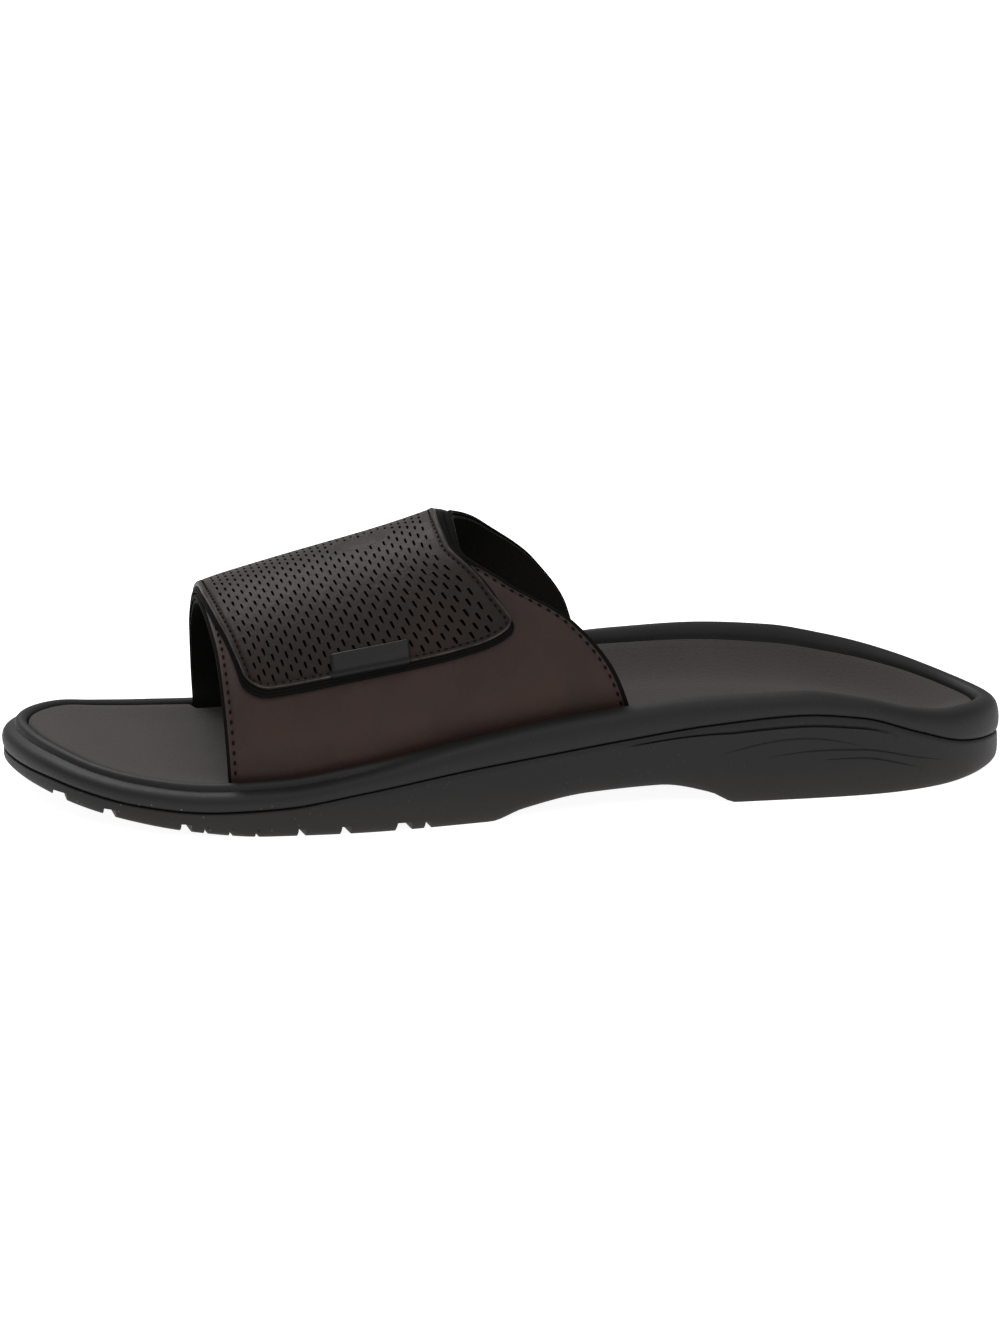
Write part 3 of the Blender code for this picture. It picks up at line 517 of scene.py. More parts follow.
class StrapForm:
    """Outer face of the strap arch by place along the foot and turn round the arch, with its normals."""

    def __init__(self):
        self.columns = [Curve(STRAP, index) for index in range(1, 8)]
        self.edges = [Curve(EDGES, index) for index in range(1, 5)]
        self.rims = (Curve(SIDE, 3), Curve(SIDE, 4))
        self.lip = Curve(SIDE, 5)
        low = LENGTH * (min(row[1] for row in EDGES) - 0.5) - FORM_MARGIN
        high = LENGTH * (max(row[2] for row in EDGES) - 0.5) + FORM_MARGIN
        self.xs = np.linspace(low, high, FORM_COLUMNS)
        self.turns = np.linspace(-1, 1, FORM_TURNS)
        self.surface = np.zeros((FORM_COLUMNS, FORM_TURNS, 3))
        self.girths = np.zeros((FORM_COLUMNS, 2))
        for i, x in enumerate(self.xs):
            self.surface[i, :, 0] = x
            for half, side in enumerate((-1, 1)):
                leg = self.leg(x, side)
                lengths = path_lengths(leg)
                self.girths[i, half] = lengths[-1]
                chosen = self.turns * side > 0 if side > 0 else self.turns <= 0
                places = (1 - np.abs(self.turns[chosen])) * lengths[-1]
                self.surface[i, chosen, 1] = np.interp(places, lengths, leg[:, 0])
                self.surface[i, chosen, 2] = np.interp(places, lengths, leg[:, 1])
        down_x, down_turn = np.gradient(self.surface, axis=(0, 1))
        normals = np.cross(down_x, down_turn)
        self.normals = normals / np.linalg.norm(normals, axis=2)[:, :, None]

    def leg(self, x, side):
        """Section of one half of the arch at x as (y, z), from its foot up to the ridge."""
        along = x / LENGTH + 0.5
        half = 0 if side < 0 else 1
        ridge_z = STRAP_HEIGHT * self.columns[0](along)
        ridge_y = BALL_WIDTH * self.columns[1](along)
        widest = STRAP_HEIGHT * self.columns[2](along)
        bulge = BALL_WIDTH * self.columns[3 + half](along)
        roundness = self.columns[5 + half](along)
        base_y = SOLE.side_at(x, side, RECESS_INSET + SEAT_CLEARANCE)
        rim_z = RIM_HEIGHT * self.rims[half](along)
        foot_z = rim_z - RIM_HEIGHT * self.lip(along) - FOOTBED_THICKNESS
        widest_y = base_y + side * bulge
        t = np.arange(1, LEG_SIDE_STEPS) / LEG_SIDE_STEPS
        side_part = np.column_stack((base_y + side * bulge * (1 - (1 - t) ** 2), rim_z + widest * t))
        angle = np.linspace(0, 0.5 * np.pi, LEG_ARC_STEPS + 1)
        reach = np.cos(angle).clip(0) ** (2 / roundness)
        rise = np.sin(angle).clip(0) ** (2 / roundness)
        arc_y = ridge_y + (widest_y - ridge_y) * reach
        arc_z = rim_z + widest + (ridge_z - rim_z - widest) * rise
        foot = np.array([[base_y, foot_z], [base_y, rim_z]])
        return np.vstack((foot, side_part, np.column_stack((arc_y, arc_z))))

    def edge(self, index, turn):
        """X of the strap's front (0) or rear (1) edge, or of the flap's front (2) or rear (3) edge."""
        return LENGTH * (self.edges[index](turn) - 0.5)

    def lookup(self, field, x, turn):
        across = (np.asarray(x) - self.xs[0]) / (self.xs[1] - self.xs[0])
        round_arch = (np.asarray(turn) - self.turns[0]) / (self.turns[1] - self.turns[0])
        across = np.clip(across, 0, FORM_COLUMNS - 1.001)
        round_arch = np.clip(round_arch, 0, FORM_TURNS - 1.001)
        i = across.astype(int)
        j = round_arch.astype(int)
        u = (across - i)[..., None]
        v = (round_arch - j)[..., None]
        near = field[i, j] * (1 - v) + field[i, j + 1] * v
        far = field[i + 1, j] * (1 - v) + field[i + 1, j + 1] * v
        return near * (1 - u) + far * u

    def normal(self, x, turn):
        found = self.lookup(self.normals, x, turn)
        return found / np.linalg.norm(found, axis=-1)[..., None]

    def place(self, x, turn, lift):
        """Points a lift above the outer face."""
        return self.lookup(self.surface, x, turn) + self.normal(x, turn) * np.asarray(lift)[..., None]

    def girth(self, x, turn):
        """Length of the section's half at x, for turning a turn into metres."""
        lateral = np.interp(x, self.xs, self.girths[:, 0])
        medial = np.interp(x, self.xs, self.girths[:, 1])
        return np.where(np.asarray(turn) < 0, lateral, medial)


FORM = StrapForm()


def length_setting(name, description, default, low, high):
    return bpy.props.FloatProperty(
        name=name, description=description, default=default, min=low, max=high, precision=5, unit="LENGTH",
    )


def colour_setting(name, description, default):
    return bpy.props.FloatVectorProperty(
        name=name, description=description, default=default, min=0, max=1, size=3, subtype="COLOR",
    )


class SandalSizes(bpy.types.PropertyGroup):
    """Sizes of the finer details."""

    leather_thickness: length_setting(
        "Strap leather", "Thickness of the strap's outer leather", 0.0013, 0.0006, 0.0020,
    )
    flap_leather: length_setting(
        "Flap leather", "Thickness of the flap's perforated leather", 0.0013, 0.0006, 0.0020,
    )
    strap_stitch_pitch: length_setting(
        "Strap stitch pitch", "Distance from one strap stitch to the next", 0.0029, 0.0015, 0.0060,
    )
    flap_stitch_pitch: length_setting(
        "Flap stitch pitch", "Distance from one flap stitch to the next", 0.0021, 0.0015, 0.0060,
    )
    stitch_width: length_setting("Thread", "Thickness of the sewing thread", 0.00072, 0.0003, 0.0010)
    strap_seam_inset: length_setting(
        "Strap seam inset", "Distance of the strap's seams from its edges", 0.0022, 0.0012, 0.0040,
    )
    flap_seam_inset: length_setting(
        "Flap seam inset", "Distance of the flap's seam from its edge", 0.0016, 0.0012, 0.0040,
    )
    hole_cell: length_setting(
        "Perforation cell", "Grid step of the leather that the perforations are punched in",
        0.00068, 0.0004, 0.0010,
    )


class SandalColours(bpy.types.PropertyGroup):
    """Colours of the finishes."""

    strap_leather: colour_setting("Strap leather", "Colour of the strap's leather", (0.0240, 0.0128, 0.0096))
    flap_leather: colour_setting("Flap leather", "Colour of the flap's leather", (0.0134, 0.0094, 0.0071))
    black_textile: colour_setting("Lining", "Colour of the strap's lining", (0.0080, 0.0074, 0.0068))
    edge_paint: colour_setting(
        "Edge paint", "Colour of the painted edges and of the flap's backing", (0.0045, 0.0042, 0.0040),
    )
    midsole_foam: colour_setting("Midsole", "Colour of the moulded midsole", (0.0074, 0.0073, 0.0073))
    outsole_rubber: colour_setting("Outsole", "Colour of the outsole's rubber", (0.0079, 0.0077, 0.0076))
    footbed_cover: colour_setting("Footbed", "Colour of the footbed's cover", (0.0345, 0.0300, 0.0270))
    thread: colour_setting("Thread", "Colour of the sewing thread", (0.0024, 0.0022, 0.0021))
    tab: colour_setting("Pull tab", "Colour of the pull tab's rubber", (0.0042, 0.0042, 0.0044))
    floor: colour_setting("Floor", "Colour of the stage's floor", (0.55, 0.55, 0.55))


class StageSettings(bpy.types.PropertyGroup):
    """Camera and lights."""

    azimuth: bpy.props.FloatProperty(
        name="Azimuth", description="Camera's angle round the sandal",
        default=math.radians(-5), subtype="ANGLE",
    )
    elevation: bpy.props.FloatProperty(
        name="Elevation", description="Camera's angle above the floor",
        default=math.radians(15), subtype="ANGLE",
    )
    roll: bpy.props.FloatProperty(
        name="Roll", description="Camera's roll about its line of sight",
        default=math.radians(-0.7), subtype="ANGLE",
    )
    distance: bpy.props.FloatProperty(
        name="Distance", description="From the camera to the middle of the sandal",
        default=1.15, unit="LENGTH",
    )
    key_strength: bpy.props.FloatProperty(
        name="Key light", description="Strength of the broad light above the lateral side", default=1.10,
    )
    overhead_power: bpy.props.FloatProperty(
        name="Overhead light", description="Power of the softbox above the sandal",
        default=6.8, unit="POWER",
    )
    room_light: bpy.props.FloatProperty(
        name="Room", description="Strength of the even light from all round", default=0.46,
    )
    floor_glow: bpy.props.FloatProperty(
        name="Floor glow", description="Strength of the light from below the floor", default=0.92,
    )


def sizes():
    return bpy.context.scene.sandal_sizes


def colours():
    return bpy.context.scene.sandal_colours


class Field:
    """A number that varies over a surface: arithmetic on it adds Math nodes."""

    def __init__(self, finish, socket):
        self.finish = finish
        self.socket = socket

    def maths(self, operation, first, second=None, clamp=False):
        node = self.finish.node("ShaderNodeMath", {"operation": operation, "use_clamp": clamp})
        for place, value in enumerate((first, second)):
            if isinstance(value, Field):
                self.finish.tree.links.new(value.socket, node.inputs[place])
            elif value is not None:
                node.inputs[place].default_value = value
        return Field(self.finish, node.outputs[0])

    def __add__(self, other):
        return self.maths("ADD", self, other)

    def __radd__(self, other):
        return self.maths("ADD", other, self)

    def __sub__(self, other):
        return self.maths("SUBTRACT", self, other)

    def __rsub__(self, other):
        return self.maths("SUBTRACT", other, self)

    def __mul__(self, other):
        return self.maths("MULTIPLY", self, other)

    def __rmul__(self, other):
        return self.maths("MULTIPLY", other, self)

    def __truediv__(self, other):
        return self.maths("DIVIDE", self, other)

    def __lt__(self, other):
        return self.maths("LESS_THAN", self, other)

    def __gt__(self, other):
        return self.maths("GREATER_THAN", self, other)

    def held(self):
        """Kept between 0 and 1."""
        return self.maths("ADD", self, 0.0, clamp=True)


class Finish:
    """A material being made: a Principled shader and the nodes that vary it."""

    def __init__(self, name):
        self.material = bpy.data.materials.new(name)
        self.material.use_nodes = True
        self.tree = self.material.node_tree
        self.shader = self.tree.nodes["Principled BSDF"]
        self.where = self.node("ShaderNodeTexCoord").outputs["Object"]

    def node(self, kind, settings=None, inputs=None):
        """Adds a node: its settings first, then the values or links of its sockets."""
        made = self.tree.nodes.new(kind)
        for name, value in (settings or {}).items():
            if name == "stops":
                self.set_stops(made.color_ramp, value)
            else:
                setattr(made, name, value)
        for name, value in (inputs or {}).items():
            self.feed(made.inputs[name], value)
        return made

    def feed(self, socket, value):
        if isinstance(value, Field):
            self.tree.links.new(value.socket, socket)
        elif isinstance(value, bpy.types.NodeSocket):
            self.tree.links.new(value, socket)
        else:
            socket.default_value = value

    def set_stops(self, ramp, stops):
        while len(ramp.elements) < len(stops):
            ramp.elements.new(0.5)
        for element, (position, value) in zip(ramp.elements, stops):
            element.position = position
            element.color = (value, value, value, 1)

    def noise(self, scale, detail=2.0, roughness=0.5, distortion=0.0):
        node = self.node(
            "ShaderNodeTexNoise",
            inputs={
                "Vector": self.where, "Scale": scale, "Detail": detail,
                "Roughness": roughness, "Distortion": distortion,
            },
        )
        return Field(self, node.outputs["Fac"])

    def cells(self, scale, feature="F1", randomness=1.0):
        node = self.node(
            "ShaderNodeTexVoronoi", {"feature": feature},
            {"Vector": self.where, "Scale": scale, "Randomness": randomness},
        )
        return Field(self, node.outputs["Distance"])

    def note(self, name):
        """A number kept on the piece's vertices."""
        return Field(self, self.node("ShaderNodeAttribute", {"attribute_name": name}).outputs["Fac"])

    def ramp(self, field, *stops):
        """Field bent through stops of (position, value)."""
        node = self.node("ShaderNodeValToRGB", {"stops": stops}, {"Fac": field})
        return Field(self, node.outputs["Color"])

    def place(self):
        """The surface's own place as three fields, in metres."""
        node = self.node("ShaderNodeSeparateXYZ", inputs={"Vector": self.where})
        return [Field(self, node.outputs[axis]) for axis in "XYZ"]

    def blend(self, factor, first, second):
        """Colour between two colours or colour sockets."""
        node = self.node("ShaderNodeMix", {"data_type": "RGBA"})
        self.feed(node.inputs["Factor"], factor)
        for socket, value in ((node.inputs[6], first), (node.inputs[7], second)):
            if isinstance(value, bpy.types.NodeSocket):
                self.tree.links.new(value, socket)
            else:
                socket.default_value = (*value, 1)
        return node.outputs[2]

    def colour(self, socket):
        self.tree.links.new(socket, self.shader.inputs["Base Color"])

    def set(self, **values):
        """Values or fields for the shader's sockets, words joined by underscores."""
        for name, value in values.items():
            self.feed(self.shader.inputs[name.replace("_", " ").title().replace("Ior", "IOR")], value)

    def bump(self, *layers):
        """Relief from layers of (height field, depth in metres)."""
        normal = None
        for height, depth in layers:
            inputs = {"Height": height, "Distance": depth, "Strength": 1.0}
            if normal is not None:
                inputs["Normal"] = normal
            normal = self.node("ShaderNodeBump", inputs=inputs).outputs["Normal"]
        self.tree.links.new(normal, self.shader.inputs["Normal"])


def shade(colour, amount):
    """The colour made lighter or darker by a factor."""
    return tuple(min(1.0, part * amount) for part in colour)


def leather_finish(name, colour, warm, grain, satin, gloss, wear_and_highlight):
    """Dark smooth leather: fine pebble grain, faint tone patches, a satin finish and a lighter rolled edge,
    part wear and part painted highlight.

    warm tints the lighter patches and grain is the scale of the pebbles. satin is the least roughness
    and gloss the strength of the highlight. The last argument is how far the colour at the rolled edge
    goes towards a light grey that is part wear and part painted highlight.
    """
    finish = Finish(name)
    patches = finish.ramp(finish.noise(48, 3, 0.55, 0.5), (0.35, 0.0), (0.68, 1.0))
    pores = finish.noise(2600, 2, 0.6)
    tone = finish.blend(patches, shade(colour, 0.84), tuple(a * b for a, b in zip(colour, warm)))
    tone = finish.blend((pores - 0.35) * 0.5, tone, shade(colour, 1.35))
    # Light grey along the rolled edge, broken into patches: part wear, part painted highlight on the edge's
    # roll
    edge = finish.ramp(finish.note(EDGE_NOTE), (0.12, 0.0), (0.24, 1.0), (0.42, 0.8), (0.66, 0.0))
    edge_patches = finish.ramp(finish.noise(160, 4, 0.65), (0.38, 0.12), (0.62, 1.0))
    finish.colour(finish.blend(edge * edge_patches * wear_and_highlight, tone, EDGE_WEAR_AND_HIGHLIGHT))
    cracks = finish.cells(grain, "DISTANCE_TO_EDGE", 0.9)
    pebbles = finish.ramp(cracks, (0.0, 0.0), (0.16, 0.85), (0.5, 1.0))
    folds = finish.noise(240, 4, 0.6, 0.8)
    finish.set(roughness=satin + 0.16 * folds + 0.06 * pores, specular_ior_level=gloss)
    finish.bump((folds, 0.00016), (pebbles, 0.00002), (pores, 0.00002))
    return finish.material


def textile_finish(name, colour):
    """Matt knitted textile with a fine rib."""
    finish = Finish(name)
    rib = finish.node("ShaderNodeTexWave", {"bands_direction": "DIAGONAL"}, {
        "Vector": finish.where, "Scale": 420.0, "Distortion": 1.2, "Detail": 1.0,
    }).outputs["Fac"]
    fuzz = finish.noise(3400, 2, 0.7)
    finish.colour(finish.blend(fuzz, shade(colour, 0.7), shade(colour, 1.6)))
    finish.set(roughness=0.92 - 0.1 * fuzz, specular_ior_level=0.05)
    finish.bump((Field(finish, rib), 0.00003), (fuzz, 0.00006))
    return finish.material


def foam_finish(name, colour, dust, low_edge_amount):
    """Moulded black foam or rubber: soft sheen, faint mottling, dust by the toe, a lighter, browner lower
    edge.
    """
    finish = Finish(name)
    mottle = finish.noise(70, 4, 0.6, 0.5)
    skin = finish.noise(1500, 3, 0.65)
    x, _, z = finish.place()
    toe = (1.0 - (x + DUST_START * LENGTH) / (DUST_FADE * LENGTH)).held()
    low = (1.0 - (z - DUST_TOP * RIM_HEIGHT) / (DUST_TOP_FADE * RIM_HEIGHT)).held()
    specks = (finish.cells(620) < 0.16) * (finish.noise(300, 1) > 0.56)
    dusty = specks * (0.06 + dust * toe * low)
    base = finish.blend(mottle, shade(colour, 0.80), shade(colour, 1.25))
    # Colour turns lighter and browner towards the bottom edge
    low_edge_share = (1.0 - z / (LOW_EDGE_TOP * RIM_HEIGHT)).held() * low_edge_amount
    base = finish.blend(low_edge_share, base, LOW_EDGE_TONE)
    finish.colour(finish.blend(dusty, base, DUST))
    finish.set(roughness=0.48 + 0.16 * mottle + 0.08 * skin, specular_ior_level=0.26)
    finish.bump((skin, 0.00003), (mottle, 0.00018))
    return finish.material


def footbed_finish(name, colour):
    """Brushed microfibre cover with a soft nap and a fine stipple."""
    finish = Finish(name)
    nap = finish.noise(900, 3, 0.6)
    clouds = finish.noise(28, 3, 0.5, 0.6)
    stipple = finish.ramp(finish.cells(1150, "F1", 0.7), (0.15, 0.0), (0.55, 1.0))
    tone = finish.blend(clouds, shade(colour, 0.88), shade(colour, 1.12))
    finish.colour(finish.blend(nap * 0.5, tone, shade(colour, 0.72)))
    finish.set(roughness=0.80 + 0.12 * nap, specular_ior_level=0.22, sheen_weight=0.08, sheen_roughness=0.5)
    finish.bump((clouds, 0.00030), (stipple, 0.00005), (nap, 0.00008))
    return finish.material


def grained_finish(name, colour, grain, tones, roughness, gloss, depth):
    """One fine grain that varies the tone, roughness and relief.

    grain holds the noise's settings, tones the darkest and lightest share of the colour, roughness its
    least value and its spread, and depth the relief in metres.
    """
    finish = Finish(name)
    noise = finish.noise(*grain)
    finish.colour(finish.blend(noise, shade(colour, tones[0]), shade(colour, tones[1])))
    finish.set(roughness=roughness[0] + roughness[1] * noise, specular_ior_level=gloss)
    finish.bump((noise, depth))
    return finish.material


def thread_finish(name, colour):
    """Waxed sewing thread."""
    return grained_finish(
        name, colour, grain=(4200, 1, 0.5), tones=(0.7, 1.8),
        roughness=(0.62, 0.2), gloss=0.06, depth=0.00006,
    )


def gloss_finish(name, colour):
    """Soft black rubber with a gentle gloss."""
    return grained_finish(
        name, colour, grain=(180, 3, 0.6), tones=(0.85, 1.2),
        roughness=(0.36, 0.16), gloss=0.17, depth=0.00008,
    )


def edge_finish(name, colour):
    """Painted, slightly rough cut edge of leather."""
    return grained_finish(
        name, colour, grain=(1800, 3, 0.7), tones=(0.7, 1.5),
        roughness=(0.66, 0.22), gloss=0.02, depth=0.00008,
    )


def floor_finish(name, colour, glow):
    """Matt pale floor, lit a little from below as a light table is."""
    finish = Finish(name)
    paper = finish.noise(9, 2, 0.5)
    finish.colour(finish.blend(paper, shade(colour, 0.99), colour))
    finish.set(roughness=0.9, specular_ior_level=0.1, emission_strength=glow)
    finish.shader.inputs["Emission Color"].default_value = (1, 1, 1, 1)
    return finish.material


def linked(name, mesh):
    """Object from a mesh, linked to the scene."""
    data = bpy.data.meshes.new(name)
    mesh.to_mesh(data)
    mesh.free()
    item = bpy.data.objects.new(name, data)
    bpy.context.scene.collection.objects.link(item)
    return item


def finished(name, mesh, materials, nodes=(), sharp_angle=FINE_ANGLE):
    """Object from a mesh, with its finishes, its body and the solids that it stands for."""
    piece = linked(name, mesh)
    piece.data.shade_smooth()
    piece.data.set_sharp_from_angle(angle=math.radians(sharp_angle))
    for material in materials:
        piece.data.materials.append(material)
    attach(piece, "root")
    if nodes:
        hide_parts(*nodes)
    return piece


def start_ring(mesh, points):
    """Circle of vertices moved to the points."""
    verts = bmesh.ops.create_circle(mesh, segments=len(points), radius=1.0)["verts"]
    for vert, point in zip(verts, points):
        vert.co = point
    return verts


def extrude_ring(mesh, ring, points):
    """Extrudes a closed ring and moves the new one to the points."""
    count = len(ring)
    edges = [mesh.edges.get((ring[i], ring[(i + 1) % count])) for i in range(count)]
    made = bmesh.ops.extrude_edge_only(mesh, edges=edges)["geom"]
    fresh = {item for item in made if isinstance(item, bmesh.types.BMVert)}
    following = []
    for vert in ring:
        following.append(next(e.other_vert(vert) for e in vert.link_edges if e.other_vert(vert) in fresh))
    for vert, point in zip(following, points):
        vert.co = point
    return following


def loft(mesh, rings):
    """Skin through rings of points. Returns its first and its last ring of vertices."""
    first = start_ring(mesh, rings[0])
    last = first
    for points in rings[1:]:
        last = extrude_ring(mesh, last, points)
    return first, last


def tube(mesh, rings):
    """Skin through rings of points, closed at both ends."""
    for ring in loft(mesh, rings):
        bmesh.ops.contextual_create(mesh, geom=ring)


def cap_rows(mesh, ring, height):
    """Closes a ring of the sole with rows from the lateral to the medial side.

    height takes the row's index, the share across and the point, and returns the point's height.
    """
    count = len(ring)
    before = [ring[0]] * (CAP_CUTS + 2)
    for i in range(1, count // 2 + 1):
        lateral = ring[i]
        medial = ring[(count - i) % count]
        row = [lateral] * (CAP_CUTS + 2)
        if i < count // 2:
            row = [lateral]
            for k in range(1, CAP_CUTS + 1):
                share = k / (CAP_CUTS + 1)
                place = lateral.co.lerp(medial.co, share)
                place.z = height(i, share, place)
                row.append(mesh.verts.new(place))
            row.append(medial)
        for k in range(CAP_CUTS + 1):
            corners = dict.fromkeys((before[k], before[k + 1], row[k + 1], row[k]))
            if len(corners) > 2:
                mesh.faces.new(list(corners))
        before = row


def bed_height(drop):
    """Height under the footbed's top by a drop, smooth from the lateral to the medial side."""
    ring = SOLE.inset(np.full(RING_POINTS, RECESS_INSET))

    def height(i, share, place):
        other = (RING_POINTS - i) % RING_POINTS
        lateral = SOLE.rim[i] - SOLE.lip[i]
        medial = SOLE.rim[other] - SOLE.lip[other]
        gaps = np.hypot(ring[:, 0] - place.x, ring[:, 1] - place.y)
        reach = min(gaps.min() / DISH_REACH, 1.0)
        across = ring[other, 1] - ring[i, 1]
        side_share = float(ease((place.y - ring[i, 1]) / across)) if across > 1e-6 else 0.5
        base = lateral * (1 - side_share) + medial * side_share
        return base - SOLE.dish[i] * math.sin(0.5 * math.pi * reach) - drop[i]

    return height


def lofted(rings, top_height, bottom_height):
    """Closed body through the rings, first ring at the bottom, with both ends capped."""
    mesh = bmesh.new()
    first, last = loft(mesh, rings)
    cap_rows(mesh, last, top_height)
    cap_rows(mesh, first, bottom_height)
    bmesh.ops.recalc_face_normals(mesh, faces=mesh.faces)
    return mesh


def midsole_mesh():
    """Tray with its cove at the toe, raised bead rim, recess wall and floor."""
    wall = SOLE.rim - SOLE.parting - CLEARANCE
    underside = SOLE.parting + CLEARANCE
    cove = 1 - ease((SOLE.along - COVE_END) / COVE_FADE)
    tray_drop = np.full(RING_POINTS, FOOTBED_THICKNESS + CLEARANCE)
    under_drop = tray_drop + SOLE.floor - CLEARANCE
    rings = [
        SOLE.points(SHELF_INSET, SOLE.bed(SHELF_INSET) - under_drop),
        SOLE.points(LAND_INSET, underside),
        SOLE.points(PARTING_INSET, underside),
    ]
    for toe_inset, toe_height, heel_inset, heel_height, drop in MIDSOLE_PROFILE:
        inset = BEAD_INSET * (toe_inset * cove + heel_inset * (1 - cove))
        share = toe_height * cove + heel_height * (1 - cove)
        rings.append(SOLE.points(inset, underside + wall * share - SOLE.lip * drop))
    rings.append(SOLE.points(RECESS_INSET, SOLE.bed(RECESS_INSET) - tray_drop))
    return lofted(rings, bed_height(tray_drop), bed_height(under_drop))


def lip_line(along):
    """Where the fine line under the outsole's lip is cut, 0 to 1."""
    start = ease((along - LIP_LINE_START) / LIP_LINE_FADE)
    end = ease((LIP_LINE_END - along) / LIP_LINE_FADE)
    return start * end


def outsole_mesh():
    """Rubber bottom: tread, side wall with its lip line, land and cup."""
    height = SOLE.parting - SOLE.tread
    under_drop = FOOTBED_THICKNESS + 2 * CLEARANCE + SOLE.floor
    rings = [SOLE.points(TREAD_EDGE_INSET, SOLE.tread)]
    for inset, share, cut in OUTSOLE_PROFILE:
        depth = LIP_LINE_DEPTH * cut * lip_line(SOLE.along)
        rings.append(SOLE.points(TREAD_EDGE_INSET * inset + depth, SOLE.tread + height * share))
    rings.append(SOLE.points(PARTING_INSET, SOLE.parting))
    rings.append(SOLE.points(LAND_INSET, SOLE.parting))
    rings.append(SOLE.points(SHELF_INSET, SOLE.bed(SHELF_INSET) - under_drop))

    def tread(i, share, place):
        other = (RING_POINTS - i) % RING_POINTS
        return SOLE.tread[i] * (1 - share) + SOLE.tread[other] * share

    return lofted(rings, bed_height(under_drop), tread)


def footbed_mesh():
    """Insole with a rolled edge, drawn in where the strap's legs go down beside it."""
    inset = np.full(RING_POINTS, RECESS_INSET + CLEARANCE)
    notch = SEAT_CLEARANCE + STRAP_WALL + CLEARANCE
    for side, turn in ((-1, -1.0), (1, 1.0)):
        front = FORM.edge(0, turn) - FOOTBED_MARGIN
        rear = FORM.edge(1, turn) + FOOTBED_MARGIN
        x = SOLE.ring[:, 0]
        beside = (x > front) & (x < rear) & (SOLE.ring[:, 1] * side > 0)
        inset[beside] += notch
    rings = [SOLE.points(inset, SOLE.bed(inset) - FOOTBED_THICKNESS)]
    for inward, down in FOOTBED_EDGE:
        rings.append(SOLE.points(inset + inward, SOLE.bed(inset + inward) - down))
    drop = np.zeros(RING_POINTS)
    under = np.full(RING_POINTS, FOOTBED_THICKNESS)
    return lofted(rings, bed_height(drop), bed_height(under))


def channel(mesh, path, width):
    """Channel along a path of (x, y), as deep as a groove and flared towards the ground."""
    tread = Curve(TREAD, 1)
    rings = []
    for x, y in path:
        ground = RIM_HEIGHT * tread(x / LENGTH + 0.5)
        wide = 0.5 * width * GROOVE_FLARE
        narrow = 0.5 * width
        rings.append((
            (x - wide, y, ground - CUTTER_OVERRUN), (x + wide, y, ground - CUTTER_OVERRUN),
            (x + wide, y, ground), (x + narrow, y, ground + GROOVE_DEPTH),
            (x - narrow, y, ground + GROOVE_DEPTH), (x - wide, y, ground),
        ))
    tube(mesh, rings)


def bowed_path(along, start, end, steps):
    """Path across the sole, bowed towards the toe in the middle."""
    path = []
    for y in np.linspace(start, end, steps + 1):
        bow = GROOVE_BOW * (1 - (2 * y / BALL_WIDTH) ** 2)
        path.append((LENGTH * (along - 0.5) - bow, y))
    return path


def tread_cutter():
    """All grooves of the tread."""
    mesh = bmesh.new()
    beyond = BALL_WIDTH / 2 + CUTTER_OVERRUN
    for along, share, crosses in GROOVES:
        width = GROOVE_WIDTH * share
        x = LENGTH * (along - 0.5)
        if crosses:
            channel(mesh, bowed_path(along, -beyond, beyond, GROOVE_STEPS), width)
            continue
        lateral = SOLE.side_at(x, -1, SIPE_LENGTH)
        medial = SOLE.side_at(x, 1, SIPE_LENGTH)
        channel(mesh, bowed_path(along, -beyond, lateral, SIPE_STEPS), width)
        channel(mesh, bowed_path(along, medial, beyond, SIPE_STEPS), width)
    for along in HEEL_GROOVES:
        half = HEEL_GROOVE_LENGTH / 2
        channel(mesh, bowed_path(along, -half, half, HEEL_GROOVE_STEPS), GROOVE_WIDTH)
    bmesh.ops.recalc_face_normals(mesh, faces=mesh.faces)
    return mesh


def side_point(along, drop):
    """Point on the outsole's lateral side by place along the sole and drop below the parting line."""
    x = LENGTH * (along - 0.5)
    lateral = slice(0, HALF + 1)
    order = np.argsort(SOLE.ring[lateral, 0])
    parting = np.interp(x, SOLE.ring[lateral, 0][order], SOLE.parting[lateral][order])
    y = SOLE.side_at(x, -1, SIDE_FACE_INSET)
    return Vector((x, y, parting - RIM_HEIGHT * drop))


def flow_cutter():
    """Tapered rods that cut the long flowing lines into the heel's side."""
    mesh = bmesh.new()
    angles = [2 * math.pi * n / FLOW_LINE_SIDES for n in range(FLOW_LINE_SIDES)]
    for start, end, low, middle, high in FLOW_LINES:
        rings = []
        bend = 2 * middle - 0.5 * (low + high)
        for k in range(FLOW_LINE_STEPS + 1):
            t = k / FLOW_LINE_STEPS
            drop = (1 - t) ** 2 * low + 2 * t * (1 - t) * bend + t * t * high
            taper = math.sin(math.pi * t) ** FLOW_LINE_TAPER
            size = FLOW_LINE_RADIUS * max(FLOW_LINE_END_SIZE, taper)
            centre = side_point(start + (end - start) * t, drop)
            rings.append([centre + Vector((0, math.cos(a), math.sin(a))) * size for a in angles])
        tube(mesh, rings)
    bmesh.ops.recalc_face_normals(mesh, faces=mesh.faces)
    return mesh


def carve(mesh, cutters):
    """The mesh with the cutters' shapes taken away."""
    item = linked("carved", mesh)
    tools = [linked("tool", cutter) for cutter in cutters]
    for tool in tools:
        modifier = item.modifiers.new("cut", "BOOLEAN")
        modifier.operation = "DIFFERENCE"
        modifier.object = tool
    graph = bpy.context.evaluated_depsgraph_get()
    carved = bmesh.new()
    carved.from_mesh(item.evaluated_get(graph).to_mesh())
    for spare in [item, *tools]:
        bpy.data.objects.remove(spare)
    return carved


